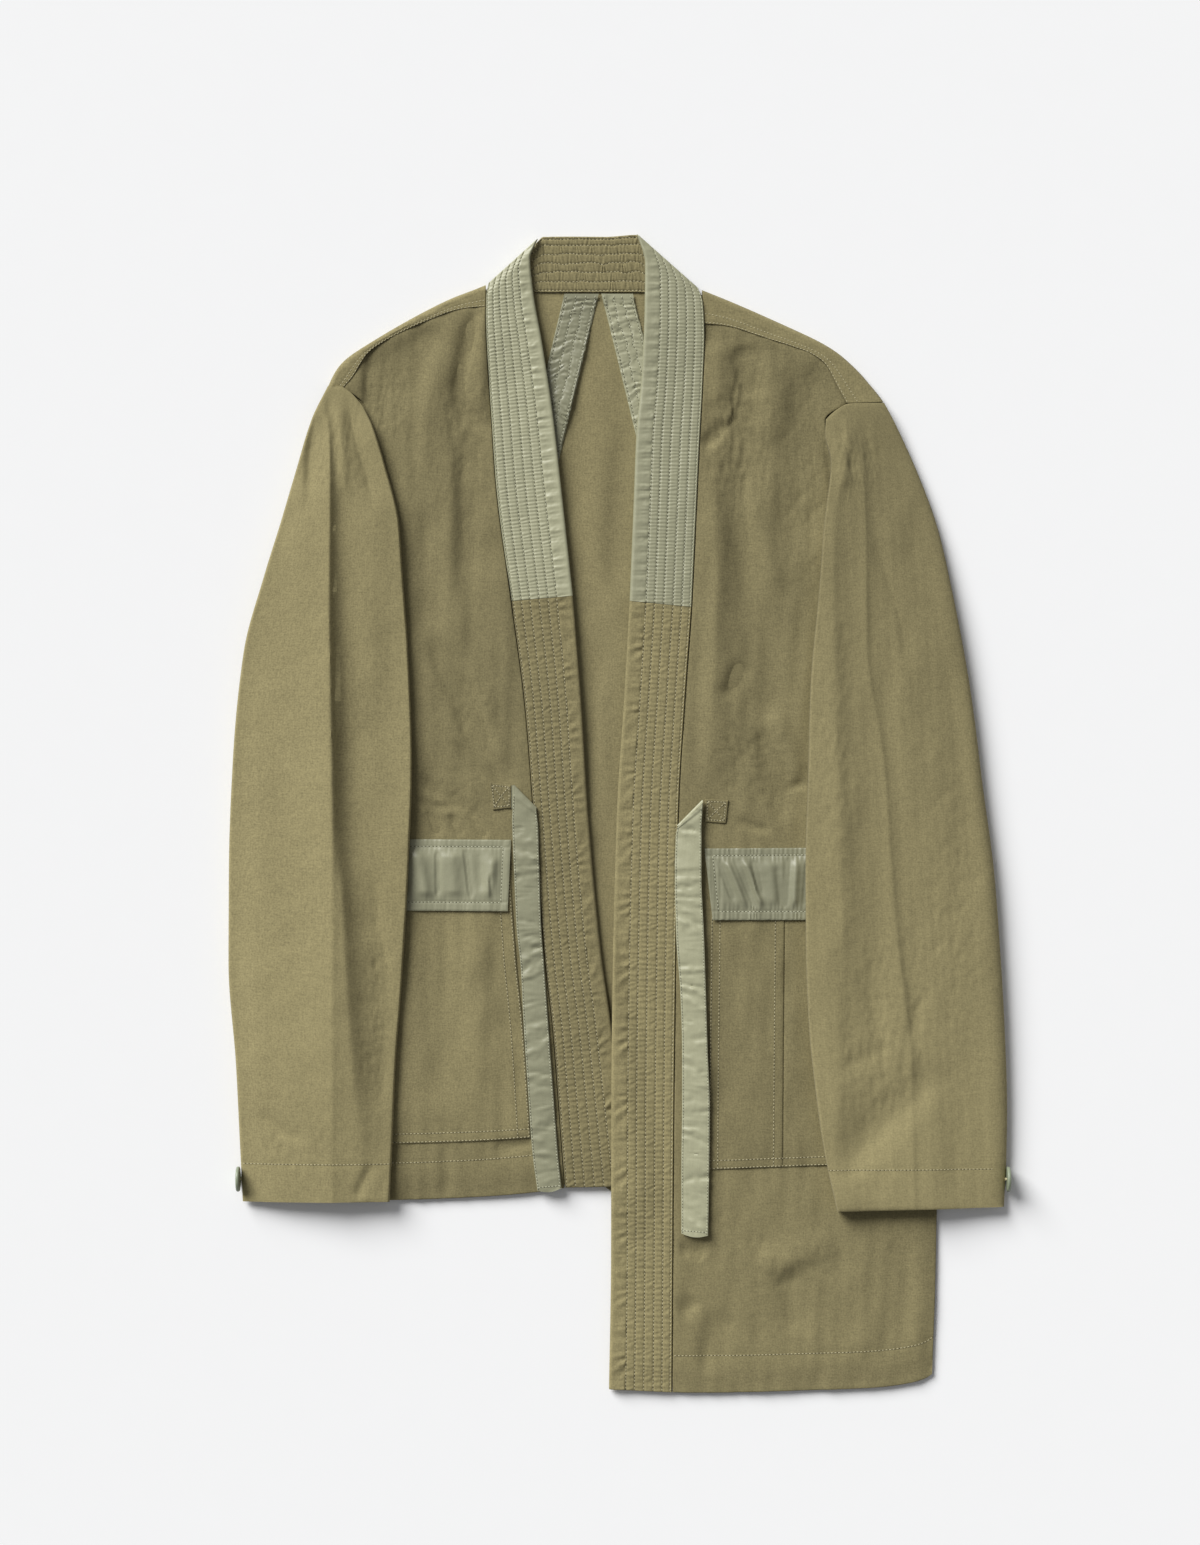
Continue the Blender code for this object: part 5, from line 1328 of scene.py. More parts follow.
def neck_band():
    """The back of the collar: quilted rows gathered by their stitches."""
    xs = np.linspace(NECK_BAND[0].x, NECK_BAND[-1].x, 250)
    rows = smooth(NECK_BAND, "x", xs)
    parts = band_columns(NECK_WIDTH, NECK_ROWS, 0.85)
    high = rows[:, 2:3]
    y = rows[:, 1:2] + (high - rows[:, 1:2]) * parts
    x = np.broadcast_to(rows[:, :1], y.shape)
    part = np.broadcast_to(parts, y.shape)
    y = y + waves(x, y, seed=44, height=0.4, across=14.0, lengthwise=16.0) * np.sin(math.pi * part)
    grid = np.dstack([x, y])
    span, place, crown, dip = channel_heights(part, NECK_ROWS, NECK_WIDTH)
    ripple = np.zeros(x.shape)
    for channel in range(len(NECK_ROWS) + 1):
        made = (puckers(x, place, period=3.1, slant=0.5, depth=0.34, seed=50 + channel)
                + puckers(x, place, period=6.4, slant=0.5, depth=0.14, seed=70 + channel))
        ripple = np.where(span == channel, made * (0.5 + 0.5 * crown), ripple)
    for start, depth in NECK_CREASES:
        away = x - start + 0.25 * (y - 450.0)
        ripple -= groove(away, run=1.7, depth=depth) * ramp(y, 444, 454)
    top = BAND_GROOVE + (BAND_CROWN - BAND_GROOVE) * crown - dip + ripple
    top = np.maximum(top, 1.0)
    top -= edge_fall(np.abs(high - y), run=1.6, depth=1.0)
    top = np.minimum(top, BAND_CROWN + 0.45)
    outer = join_height(grid, top)
    inner = join_height(grid, np.full(top.shape, 0.1))
    lay_piece("neck_band_cloth", "neck_band", outer, inner, np.dstack([y, x]),
              every=len(parts) // 3)
    for row in NECK_ROWS:
        SEWN["olive_cloth"].add(outer[8:-8, nearest(parts, row)], 0.08)


def strap(side, rows, seed, raised):
    """A satin strap on the inside of the back, strongly puckered by four rows of stitches."""
    top_y, end_y = rows[0].left_y, rows[-1].left_y
    levels = top_y - spread(top_y - end_y, 0.95)
    line = smooth(rows, "left_y", levels)
    parts = band_columns(STRAP_WIDTH, STRAP_ROWS, 0.9)
    grid = across_strip(line[:, 0:2], line[:, 2:4], parts)
    x, y = plan(grid)
    part = np.broadcast_to(parts, x.shape)
    x += waves(x, y, seed=seed, height=0.7, across=14.0, lengthwise=12.0) * np.sin(math.pi * part)
    span, place, crown, dip = channel_heights(part, STRAP_ROWS, STRAP_WIDTH)
    way = way_along(grid)
    ripple = np.zeros(x.shape)
    for channel in range(len(STRAP_ROWS) + 1):
        made = (puckers(way, part, period=7.6, slant=0.6, depth=0.5, seed=seed)
                + puckers(way, place, period=3.3, slant=0.4, depth=0.28, seed=seed + 9 + channel))
        ripple = np.where(span == channel, made * (0.65 + 0.35 * crown), ripple)
    uneven = waves(x, y, seed=seed + 3, height=0.5, across=10.0, lengthwise=12.0)
    ripple *= np.clip(0.9 + uneven, 0.1, 1.9)
    top = 3.6 + 0.2 * crown - dip + ripple - edge_fall(edge_distance(grid), run=1.2, depth=0.8)
    top = np.clip(top, STRAP_LOWEST, STRAP_HIGHEST)
    free = ramp(y, 292, 332) * ramp(y, 392, 368)
    top += raised * free * part ** 2
    rest = PILE.under(x, y, 3.0) + 0.15
    top = np.maximum(top, rest + 0.5)
    outer = join_height(grid, top)
    inner = join_height(grid, np.minimum(rest, top - 0.4))
    lay_piece("strap_cloth_" + side, "strap_" + side, outer, inner,
              np.dstack([part * STRAP_WIDTH, way]), every=8,
              length=way[-1].mean(), width=STRAP_CUT)
    for row in STRAP_ROWS:
        SEWN["satin"].add(outer[3:-3, nearest(parts, row)])


# ---------------------------------------------------------------- fronts, pockets and flaps


FRONT_STEP = 2.25
FRONT_HEM_RISE = 30.0     # how far the stitches of a front's hem are above its edge
POCKET_HEM_INSETS = (1.6, 8.2)
PLEAT_STITCHES = 6.2      # how far the stitches beside a pleat are from it
FLAP_STEP = 0.95
FLAP_UPPER = 6.0          # how far a flap's rows of stitches are from its edges
FLAP_LOWER = 7.0
FLAP_SIDE = 6.0


class Panel:
    """A front panel: a grid of places and heights that pockets and flaps are made from."""

    def __init__(self, side, sections, seam, hem, band, folds, crumples, fall_from, seed):
        self.side = side
        self.width = 200.0
        self.parts = spread(self.width, FRONT_STEP) / self.width
        first, last = sections[0].inner_y, sections[-1].inner_y
        self.ys = first - spread(first - last, FRONT_STEP)
        self.grid = self.places(sections, seam, hem, band)
        self.top = self.heights(folds, crumples, fall_from, seed)

    def bend(self, line):
        """How far an outline leaves the straight line between its ends."""
        start, end = np.array(line[0]), np.array(line[-1])
        return along(line, self.parts) - (start + (end - start) * self.parts[:, None])

    def places(self, sections, seam, hem, band):
        """Places between the band and the side, bent to the seam above and the hem below."""
        rows = smooth(sections, "inner_y", self.ys)
        band_x = smooth(band, "outer_y", self.ys)[:, 2]
        away = -1.0 if band_x[0] < 0 else 1.0
        starts = np.column_stack([band_x + away * BAND_SEAM, rows[:, 0]])
        starts[-1] = hem[0]
        grid = starts[:, None] + (rows[:, 1:3] - starts)[:, None] * self.parts[None, :, None]
        near_seam = np.clip(1.0 - (self.ys[0] - self.ys) / 170.0, 0.0, 1.0) ** 1.6
        near_hem = np.clip(1.0 - (self.ys - self.ys[-1]) / 120.0, 0.0, 1.0)
        grid += self.bend(seam)[None] * near_seam[:, None, None]
        grid += self.bend(hem)[None] * near_hem[:, None, None]
        self.side_ends = rows[:, 1:3]
        return grid

    def heights(self, folds, crumples, fall_from, seed):
        """Height of the front: its creases, its fall to the side and the hem, and its edges."""
        grid = self.grid
        x, y = plan(grid)
        to_seam = way_along(grid)
        to_side = distance_to(grid, self.side_ends[:, None])
        to_hem = y - grid[-1, :, 1][None]
        to_band = distance_to(grid, grid[:, :1])
        relief = FRONT_RELIEF * fold_height(folds, x, y) * (0.2 + 0.8 * ease(to_seam / 14.0))
        relief = np.where(relief < 0.0, DEEPEST * np.tanh(relief / DEEPEST), relief)
        top = FRONT_TOP + relief + crumple_height(crumples, x, y)
        top += unevenness(FRONT_WAVES, x, y, seed)
        falling = ease((fall_from - self.side_ends[:, 1]) / 30.0)[:, None]
        top -= SIDE_DROP * (1.0 - ease(to_side / SIDE_RUN)) * falling
        top -= HEM_DROP * (1.0 - ease(to_hem / HEM_RUN))
        top -= edge_fall(to_band, run=1.2, depth=0.5) + edge_fall(to_seam, run=2.4, depth=1.0)
        top -= edge_fall(to_hem, run=1.4, depth=0.7) + edge_fall(to_side, run=1.4, depth=0.7)
        top -= groove(to_hem - FRONT_HEM_RISE, run=1.6, depth=0.3)
        gathers = np.sin(x / 1.9 + 0.4 * np.sin(x / 7.0))
        top += 0.12 * gathers * groove(to_hem - 26.0, run=7.0, depth=1.0)
        return np.maximum(top, LOWEST_TOP)

    def hem_stitches(self, outer):
        """Path at an even distance above the hem, from one side to the other."""
        rise = self.grid[:, :, 1] - self.grid[-1, :, 1][None]
        path = []
        for column in range(2, self.grid.shape[1] - 2):
            order = np.argsort(rise[:, column])
            path.append([np.interp(FRONT_HEM_RISE, rise[order, column], outer[order, column, axis])
                         for axis in range(3)])
        return np.array(path)

    def build(self):
        """The front's piece of cloth with the stitches of its hem."""
        outer = join_height(self.grid, self.top)
        under = np.maximum(self.top - CLOTH, BACK_TOP + SEAM)
        inner = join_height(self.grid, np.minimum(under, self.top - 0.5))
        lay_piece("front_cloth_" + self.side, "front_" + self.side, outer, inner,
                  self.grid, every=8)
        SEWN["olive_cloth"].add(self.hem_stitches(outer))

    def at(self, levels, parts):
        """Places and heights at levels (nominal y) and, for each level, at parts across."""
        rows = np.interp(-np.asarray(levels), -self.ys, np.arange(len(self.ys)))
        low = np.clip(rows.astype(int), 0, len(self.ys) - 2)
        mix = (rows - low)[:, None]
        found = []
        for values in (self.grid[:, :, 0], self.grid[:, :, 1], self.top):
            upper, lower = [np.array([np.interp(part, self.parts, values[row + below])
                                      for row, part in zip(low, parts)]) for below in (0, 1)]
            found.append(upper * (1.0 - mix) + lower * mix)
        return np.dstack(found[:2]), found[2]


def pocket(panel, high_y, low_y, low_part, high_part, side_rows, pleat):
    """A patch pocket on a front: sewn at its sides and hem, with an optional pleat."""
    width = (high_part - low_part) * panel.width
    if pleat:
        widths = ((pleat - low_part) * panel.width, (high_part - pleat) * panel.width)
        parts = np.concatenate([spread(widths[0], 2.0),
                                widths[0] + spread(widths[1], 2.0)[1:]]) / width
    else:
        parts = spread(width, 2.0) / width
    levels = high_y - spread(high_y - low_y, 2.1)
    across = low_part + (high_part - low_part) * parts
    grid, base = panel.at(levels, np.tile(across, (len(levels), 1)))
    x, y = plan(grid)
    from_side = distance_to(grid, grid[:, :1])
    from_foot = distance_to(grid, grid[-1:])
    to_edge = np.minimum(from_side, from_foot)
    puff = 0.95 + 0.75 * ease(to_edge / 26.0)
    top = base + SEAM + puff + waves(x, y, seed=41, height=0.1, across=30.0, lengthwise=60.0)
    top -= edge_fall(to_edge, run=1.2, depth=0.7)
    for distance in ([from_side - inset for inset in side_rows]
                     + [from_foot - inset for inset in POCKET_HEM_INSETS]):
        top -= groove(distance, run=1.1, depth=0.22)
    if pleat:
        line = np.abs(across - pleat) * panel.width
        top -= np.where(across > pleat, groove(line, run=7.0, depth=0.55), 0.0)
        top -= groove(line, run=0.45, depth=0.75)
    top = np.maximum(top, base + SEAM + 0.35)
    outer = join_height(grid, top)
    lay_piece("pocket_cloth_" + panel.side, "pocket_" + panel.side, outer,
              join_height(grid, base + 0.2), grid, every=6)
    sewn = SEWN["olive_cloth"]
    for inset in side_rows:
        sewn.add(outer[1:-1, nearest(parts * width, inset)])
    for inset in POCKET_HEM_INSETS:
        sewn.add(outer[nearest(levels - levels[-1], inset), 1:-1])
    if pleat:
        sewn.add(outer[1:-1, nearest(across, pleat - PLEAT_STITCHES / panel.width)])


def crinkle_height(crinkles, part, down, width):
    """Creases that run down a flap."""
    relief = np.zeros(part.shape)
    for crease in crinkles:
        line = crease.top_part + (crease.low_part - crease.top_part) * down
        away = (part - line) * width
        run = np.where(away > 0.0, crease.right, crease.left)
        fade = ease((down - crease.start) / 0.15) * ease((crease.end - down) / 0.2)
        relief += crease.depth * fade * np.exp(-(away / run) ** 2)
    return relief


def flap(panel, high_y, low_y, high_parts, low_parts, crinkles, gathered):
    """A satin pocket flap with creases that hang from its upper row of stitches."""
    width = (high_parts[1] - high_parts[0]) * panel.width
    length = high_y - low_y
    parts = spread(width, FLAP_STEP) / width
    downs = spread(length, FLAP_STEP) / length
    start = high_parts[0] + (low_parts[0] - high_parts[0]) * downs
    end = high_parts[1] + (low_parts[1] - high_parts[1]) * downs
    across = start[:, None] + (end - start)[:, None] * parts
    grid, base = panel.at(high_y - length * downs, across)
    base = base + SEAM + 1.9 * ease(downs / 0.34)[:, None] + FLAP_LIFT * (downs ** 3)[:, None]
    part = np.broadcast_to(parts, base.shape)
    down = np.broadcast_to(downs[:, None], base.shape)
    body = ease((down - 0.10) / 0.16) * ease((0.87 - down) / 0.16)
    body = body * ease((part * width - FLAP_SIDE) / 9.0)
    relief = crinkle_height(crinkles, part, down, width) * body
    relief += gathered * (1.0 - body) * puckers(
        grid[:, :, 0], down, period=3.9, slant=0.2, depth=0.2, seed=7)
    top = base + FLAP_THICK + relief + FLAP_PUFF * body
    from_top, from_foot, from_side = down * length, (1.0 - down) * length, part * width
    for distance in (from_top - FLAP_UPPER, from_foot - FLAP_LOWER, from_side - FLAP_SIDE):
        top -= groove(distance, run=0.8, depth=0.6)
    top -= edge_fall(np.minimum.reduce([from_top, from_foot, from_side]), run=1.3, depth=0.9)
    top = np.maximum(top, base + 0.45)
    outer = join_height(grid, top)
    lay_piece("flap_cloth_" + panel.side, "flap_" + panel.side, outer,
              join_height(grid, base), np.dstack([from_side, from_top]), every=6)
    upper = nearest(downs * length, FLAP_UPPER)
    lower = nearest((1.0 - downs) * length, FLAP_LOWER)
    column = nearest(parts * width, FLAP_SIDE)
    SEWN["satin"].add(outer[upper, column:-2])
    SEWN["satin"].add(outer[lower, column:-2])
    SEWN["satin"].add(outer[upper:lower, column])


# ---------------------------------------------------------------- tabs and ties


TAB_SIZE = 18.0
TAB_PITCH = 2.4
TIE_WIDTH = 20.5
TIE_THICK = 0.7
TIE_GAP = 0.15            # between the two layers of cloth where a tie folds over
TIE_HEM = 1.3
TIE_PITCH = 2.5
TIE_TURN_ROWS = 14


def tab(side, corners):
    """A small square of cloth sewn down on all sides, with crossed stitches."""
    top_left, top_right, low_right, low_left = [np.array(corner) for corner in corners]
    parts = spread(TAB_SIZE, 0.9) / TAB_SIZE
    upper = top_left + (top_right - top_left) * parts[:, None]
    lower = low_left + (low_right - low_left) * parts[:, None]
    grid = upper[None] + (lower - upper)[None] * parts[:, None, None]
    x, y = plan(grid)
    rest = blur(PILE.under(x, y, 2.5) + 0.15, 3, 3)
    rest = np.maximum(rest, PILE.under(x, y, 1.0) + 0.12)
    away = edge_distance(grid)
    top = rest + 1.1 - edge_fall(away, run=1.0, depth=0.6) - groove(away - 2.2, run=0.7, depth=0.25)
    top += waves(x, y, seed=61, height=0.1, across=9.0, lengthwise=9.0)
    outer = join_height(grid, top)
    lay_piece("tab_cloth_" + side, "tab_" + side, outer, join_height(grid, rest),
              grid, every=6)
    low, high = 4, len(parts) - 5
    square = np.concatenate([outer[low, low:high], outer[low:high, high],
                             outer[high, low:high + 1][::-1], outer[low:high, low][::-1]])
    steps = np.arange(low, high + 1)
    for path in (square, outer[steps, steps], outer[steps, steps[::-1]]):
        SEWN["olive_cloth"].add(path, pitch=TAB_PITCH)


def tie_start(away, tab_edge, corner, elbow, parts):
    """Rows of a tie from its tab to its diagonal fold and over it, and the height it ends at."""
    level = 0.2 + max(PILE.under(corner[:1], corner[1:], 4.0)[0],
                      PILE.under(elbow[:1], elbow[1:], 5.0)[0])
    places = corner + (elbow - corner) * parts[:, None]
    tab_high, tab_low = np.array([tab_edge[0], corner[1]]), np.array([tab_edge[1], elbow[1]])
    first = tab_high + (tab_low - tab_high) * parts[:, None]
    outs, inns = [], []
    for part in (0.0, 0.5, 0.97):
        spot = first + (places - first) * part
        outs.append(at_height(spot, level))
        inns.append(at_height(spot, level + TIE_THICK))
    bulge = np.array([away, 1.0]) / math.sqrt(2.0)
    middle = level + TIE_THICK + TIE_GAP
    radius = TIE_THICK + TIE_GAP
    for degrees in (-50, 0, 50):
        out, up = math.cos(math.radians(degrees)), math.sin(math.radians(degrees))
        outs.append(at_height(places + bulge * radius * out, middle + radius * up))
        inns.append(at_height(places + bulge * 0.12 * out, middle + 0.14 * up))
    high = middle + TIE_THICK + TIE_GAP
    outs.append(at_height(places, high))
    inns.append(at_height(places, high - TIE_THICK))
    return places, outs, inns, high - TIE_THICK


def tie_grid(away, rows, places, parts):
    """Places of a tie that turns from its diagonal fold and hangs down, with a round end."""
    start_y = rows[0].left_y
    length = start_y - rows[-1].left_y
    tail = np.append(np.linspace(0.0, length - 1.0, 230), length - np.array([0.55, 0.22, 0.0]))
    strip = smooth(rows, "left_y", start_y - tail)
    near, far = strip[:, 0:2], strip[:, 2:4]
    if away < 0:
        near, far = far, near
    grid = across_strip(near, far, parts)
    grid[-1, :, 1] -= 2.2 * np.sin(math.pi * parts)
    grid[-2, :, 1] -= 1.8 * np.sin(math.pi * parts)
    turned = np.linspace(0.0, 1.0, TIE_TURN_ROWS + 1)[1:-1]
    turn = np.array([places + (grid[0] - places) * amount for amount in turned])
    return np.concatenate([turn, grid])


def tie_rest(x, y, start_height):
    """Height that each row of a tie rests on."""
    rest = running_mean(PILE.under(x, y, 2.0).max(axis=1), 14)
    rest = np.maximum(rest, blur(PILE.under(x, y, 1.0), 2, 2).max(axis=1)) + 0.25
    rest[:4] = np.maximum(rest[:4], start_height)
    return np.maximum(rest, running_mean(rest, 9))[:, None]


def tie(side, away, tab_edge, corner, elbow, rows, right_lift, seed):
    """A strip that leaves its tab sideways, folds over on the diagonal and hangs down the front."""
    parts = spread(TIE_WIDTH, 0.95) / TIE_WIDTH
    places, outs, inns, start_height = tie_start(away, tab_edge, np.array(corner),
                                                 np.array(elbow), parts)
    grid = tie_grid(away, rows, places, parts)
    x, y = plan(grid)
    rest = tie_rest(x, y, start_height)
    part = np.broadcast_to(parts, x.shape)
    ripple = (puckers(-y, part, period=14.0, slant=0.5, depth=0.5, seed=seed)
              + puckers(-y, part, period=6.4, slant=0.7, depth=0.2, seed=seed + 1))
    uneven = waves(x, y, seed=seed + 2, height=0.5, across=16.0, lengthwise=14.0)
    ripple *= np.clip(0.9 + uneven, 0.1, 1.9)
    top = rest + TIE_THICK + ripple
    top += (0.35 * np.sin(math.pi * part)
            + right_lift * (x - x.min(axis=1, keepdims=True)) / TIE_WIDTH)
    curl = ease((y[-1].mean() + 40.0 - y.mean(axis=1)) / 40.0)
    top += 1.2 * curl[:, None] ** 2
    from_side = np.minimum(part, 1.0 - part) * TIE_WIDTH
    top -= (groove(from_side - TIE_HEM, run=0.5, depth=0.22)
            + edge_fall(from_side, run=0.8, depth=0.35))
    top = np.maximum(top, rest + 0.35)
    start_row = len(outs) + 2
    outs = np.array(outs + list(join_height(grid, top)))
    inns = np.array(inns + list(join_height(grid, top - TIE_THICK * 0.9)))
    weave = np.dstack([np.tile(parts * TIE_WIDTH, (len(outs), 1)), way_along(outs)])
    node = "tie_" + side
    made = shell(node + "_cloth", outs, inns, LOOKS[node], weave, every=6)
    PILE.lay(outs)
    sewn = SEWN["satin"]
    for inset in (TIE_HEM, TIE_WIDTH - TIE_HEM):
        sewn.add(outs[start_row:-3, nearest(parts * TIE_WIDTH, inset)], 0.05, TIE_PITCH)
    sewn.add(outs[-5, 2:-2], 0.05, TIE_PITCH)
    finish_piece(made, node)


# ---------------------------------------------------------------- sleeves


SLEEVE_STEP = 2.7
SLEEVE_COLUMNS = 100
SLEEVE_INNER = 0.9 * CLOTH    # thickness of a sleeve's cloth
CUFF_RISE = 31.0              # how far the stitches of a cuff are above its edge


def sleeve_parts(width, runs):
    """Parts across a sleeve, close together where each side rounds over."""
    turns = np.linspace(0.0, math.pi / 2, 6)[:-1]
    rim = 1.0 - np.cos(turns)
    inside = np.linspace(0.0, 1.0, SLEEVE_COLUMNS)
    middle = width - runs[0] - runs[1]
    return np.concatenate([runs[0] * rim / width, (runs[0] + middle * inside) / width,
                           1.0 - runs[1] * rim[::-1] / width], axis=1)


def sleeve_form(node, far, near, parts):
    """Heights of the upper and the lower face of a sleeve's CAD solid, evened out."""
    solid = Solid(node)
    coarse = slice(0, None, 3)
    safe = np.clip(parts[coarse], 0.06, 0.94)[:, :, None]
    places = far[coarse, None] + (near - far)[coarse, None] * safe
    all_rows = np.arange(len(parts))
    found = []
    for from_above, column_passes in ((True, 70), (False, 24)):
        values = solid.height(places[:, :, 0], places[:, :, 1], from_above)
        values = [np.interp(all_rows, all_rows[coarse], column) for column in values.T]
        found.append(blur(np.stack(values, axis=1), 16, column_passes))
    return found


def sleeve_underside(low, x, y, parts, to_cap):
    """Lower face of a sleeve laid on what is under it, and settled at its inner edge."""
    below = np.maximum(low, PILE.under(x, y, 2.0) + 0.2)
    below = np.maximum(blur(below, 4, 3), PILE.under(x, y, 1.0) + 0.15)
    low = np.where(to_cap < 9.0, low, below)
    settled = np.minimum(low, PILE.under(x, y, 3.0) + 0.4)
    return low + (settled - low) * ease((parts - 0.78) / 0.16) * ramp(to_cap, 40, 100)


def sleeve_creases(x, y, folds, ridges, crumples, seed):
    """Relief of a sleeve's upper face."""
    crease = fold_height(folds, x, y) + sum(ridge_height(ridge, x, y) for ridge in ridges)
    return crease + crumple_height(crumples, x, y) + unevenness(SLEEVE_WAVES, x, y, seed)


def sleeve_tube(far, near, width, parts, runs, rise, top, low):
    """Outer and inner face of a sleeve all round, its underside with fewer columns."""
    edge = np.minimum(parts * width / runs[0], (1.0 - parts) * width / runs[1])
    bulge = np.sqrt(1.0 - (1.0 - np.clip(edge, 0.0, 1.0)) ** 2)
    middle, half = (top + low) / 2.0, (top - low) / 2.0
    shrink = SLEEVE_INNER / width
    last = parts.shape[1] - 1
    behind = (list(range(last - 1, last - 7, -1)) + list(range(last - 9, 7, -3))
              + list(range(6, 0, -1)))
    parts_in = shrink + (1.0 - 2 * shrink) * parts
    faces = []
    for across, high in ((parts, half), (parts_in, np.maximum(half - SLEEVE_INNER, 0.08))):
        grid = far[:, None] + (near - far)[:, None] * across[:, :, None]
        grid[:, :, 1] += rise
        faces.append(np.concatenate([join_height(grid, middle + high * bulge),
                                     join_height(grid, middle - high * bulge)[:, behind]], axis=1))
    across = np.concatenate([parts, 2.0 - parts[:, behind]], axis=1) * width.mean()
    return faces[0], faces[1], across


def sleeve(side, rows, swells, cap_rises, runs, creases):
    """A flattened tube that rests on the front and comes down to the floor beyond the side."""
    node = "sleeve_" + side
    last, first = rows[-1].outer_y, rows[0].outer_y
    levels = first - spread(first - last, SLEEVE_STEP)
    line = smooth(rows, "outer_y", levels)
    far, near = line[:, 2:4], line[:, 0:2]
    width = np.linalg.norm(near - far, axis=1)[:, None]
    parts = sleeve_parts(width, runs)
    straight = far[:, None] + (near - far)[:, None] * parts[:, :, None]
    high, low = sleeve_form(node, far, near, parts)
    to_cap = np.broadcast_to((first - levels)[:, None], parts.shape)
    low = sleeve_underside(low, straight[:, :, 0], straight[:, :, 1], parts, to_cap)
    rise = smooth(cap_rises, "part", parts[0])[:, 1]
    rise = rise[None] * np.clip(1.0 - to_cap / 42.0, 0.0, 1.0) ** 1.6
    grid = join_height(straight[:, :, 0], straight[:, :, 1] + rise)
    swell = Swell(*smooth(swells, "y", levels).T[:, :, None])
    high += (swell.far * (1.0 - parts) ** 2 + swell.middle * 2.0 * parts * (1.0 - parts)
             + swell.near * parts ** 2)
    cap = ease(to_cap / 30.0)
    crease = sleeve_creases(*plan(grid), *creases)
    top = high + crease * (0.4 + 0.6 * cap) - edge_fall(to_cap, run=4.0, depth=1.0)
    top -= groove(distance_to(grid, grid[-1:]) - CUFF_RISE, run=1.3, depth=0.28)
    top = np.maximum(top, low + 1.9 + 0.6 * cap)
    outer, inner, across = sleeve_tube(far, near, width, parts, runs, rise, top, low)
    weave = np.dstack([across, np.tile((first - levels)[:, None], (1, across.shape[1]))])
    made = shell("sleeve_cloth_" + side, outer, inner, LOOKS[node], weave, every=6, closed=True)
    cuff = outer[nearest(levels - levels[-1], CUFF_RISE), :parts.shape[1]]
    SEWN["olive_cloth"].add(cuff[4:-4])
    finish_piece(made, node)


# ---------------------------------------------------------------- buttons


# Outline of a button from the middle of its face, over the rim, to the middle of its back.
BUTTON_OUTLINE = rows_of(Turning, [
    (0, 1), (5.9, 1), (6.6, 0.85), (7.1, 0.35), (7.6, 0.06), (8.2, 0), (9, 0.05), (9.6, 0.3),
    (9.9, 0.75), (10, 1.3), (10, 1.9), (9.8, 2.4), (9.3, 2.75), (8.4, 2.9), (0, 2.9),
])
BUTTON_RADIUS = 10.0
BUTTON_THICK = 2.9
BUTTON_LEAN = 0.5
BUTTON_RISE = 0.3         # how far its rim stays above the floor
EYE_REACH = 1.7           # how far each of the four eyes lies from the middle, each way
# A dark disc of painted shade in each eye opening.
EYE_SHADE = rows_of(Turning, [(0, 0.93), (0.75, 0.93), (0.8, 1.05), (0, 1.05)])
EYE_STITCH = rows_of(Turning, [(0, 0.6), (0.35, 0.7), (0.35, 1), (0, 1)])
SHANK = rows_of(Turning, [(0, 2.7), (1.2, 2.7), (1, 3.4), (1.3, 4.2), (0, 4.2)])


def button_point(place, along_y, up, depth):
    """A point on a button that stands on edge, its face turned away from the cuff."""
    out = BUTTON_THICK - depth + BUTTON_LEAN * (1.0 - up / BUTTON_RADIUS) / 2.0
    return (place.edge_x + place.away * out, place.y + along_y, BUTTON_RADIUS + BUTTON_RISE + up)


def turned(place, outline, centre_y=0.0, centre_up=0.0, sides=48):
    """Points and faces of an outline turned about an axis that runs across the jacket."""
    points, faces, rings = [], [], []
    for radius, depth in outline:
        ring = []
        for side in range(sides if radius else 1):
            angle = 2 * math.pi * side / sides
            ring.append(len(points))
            points.append(button_point(place, centre_y + radius * math.cos(angle),
                                       centre_up + radius * math.sin(angle), depth))
        rings.append(ring)
    for first, second in zip(rings, rings[1:]):
        for side in range(sides):
            following = (side + 1) % sides
            corners = [first[side % len(first)], second[side % len(second)],
                       second[following % len(second)], first[following % len(first)]]
            faces.append(list(dict.fromkeys(corners)))
    return points, faces


def joined(parts):
    """Several lists of points and faces as one."""
    points, faces = [], []
    for some_points, some_faces in parts:
        faces += [[corner + len(points) for corner in face] for face in some_faces]
        points += some_points
    return points, faces


def button(node, place):
    """A turned cuff button with a dark disc of painted shade in each of its four eye openings, two
    stitches through them and a thread shank.
    """
    points, faces = turned(place, BUTTON_OUTLINE)
    body = to_object("turned_" + node, points, faces, LOOKS["button"])
    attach(body, "root")
    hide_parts(node)
    both = (-EYE_REACH, EYE_REACH)
    # dark discs of painted shade in the four eye openings
    eye_shades = joined([turned(place, EYE_SHADE, along_y, up, sides=14) for along_y in both for up in both])
    threads = [turned(place, SHANK, sides=14)]
    for up in both:
        threads += [turned(place, EYE_STITCH, float(along_y), up, sides=8)
                    for along_y in np.linspace(*both, 8)]
    for name, made, look in (("eye_shades_" + node, eye_shades, LOOKS["hole"]),
                             ("threads_" + node, joined(threads), LOOKS["olive_thread"])):
        detail = to_object(name, made[0], made[1], look, made[0])
        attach(detail, "root")


# ---------------------------------------------------------------- stage, camera and assembly


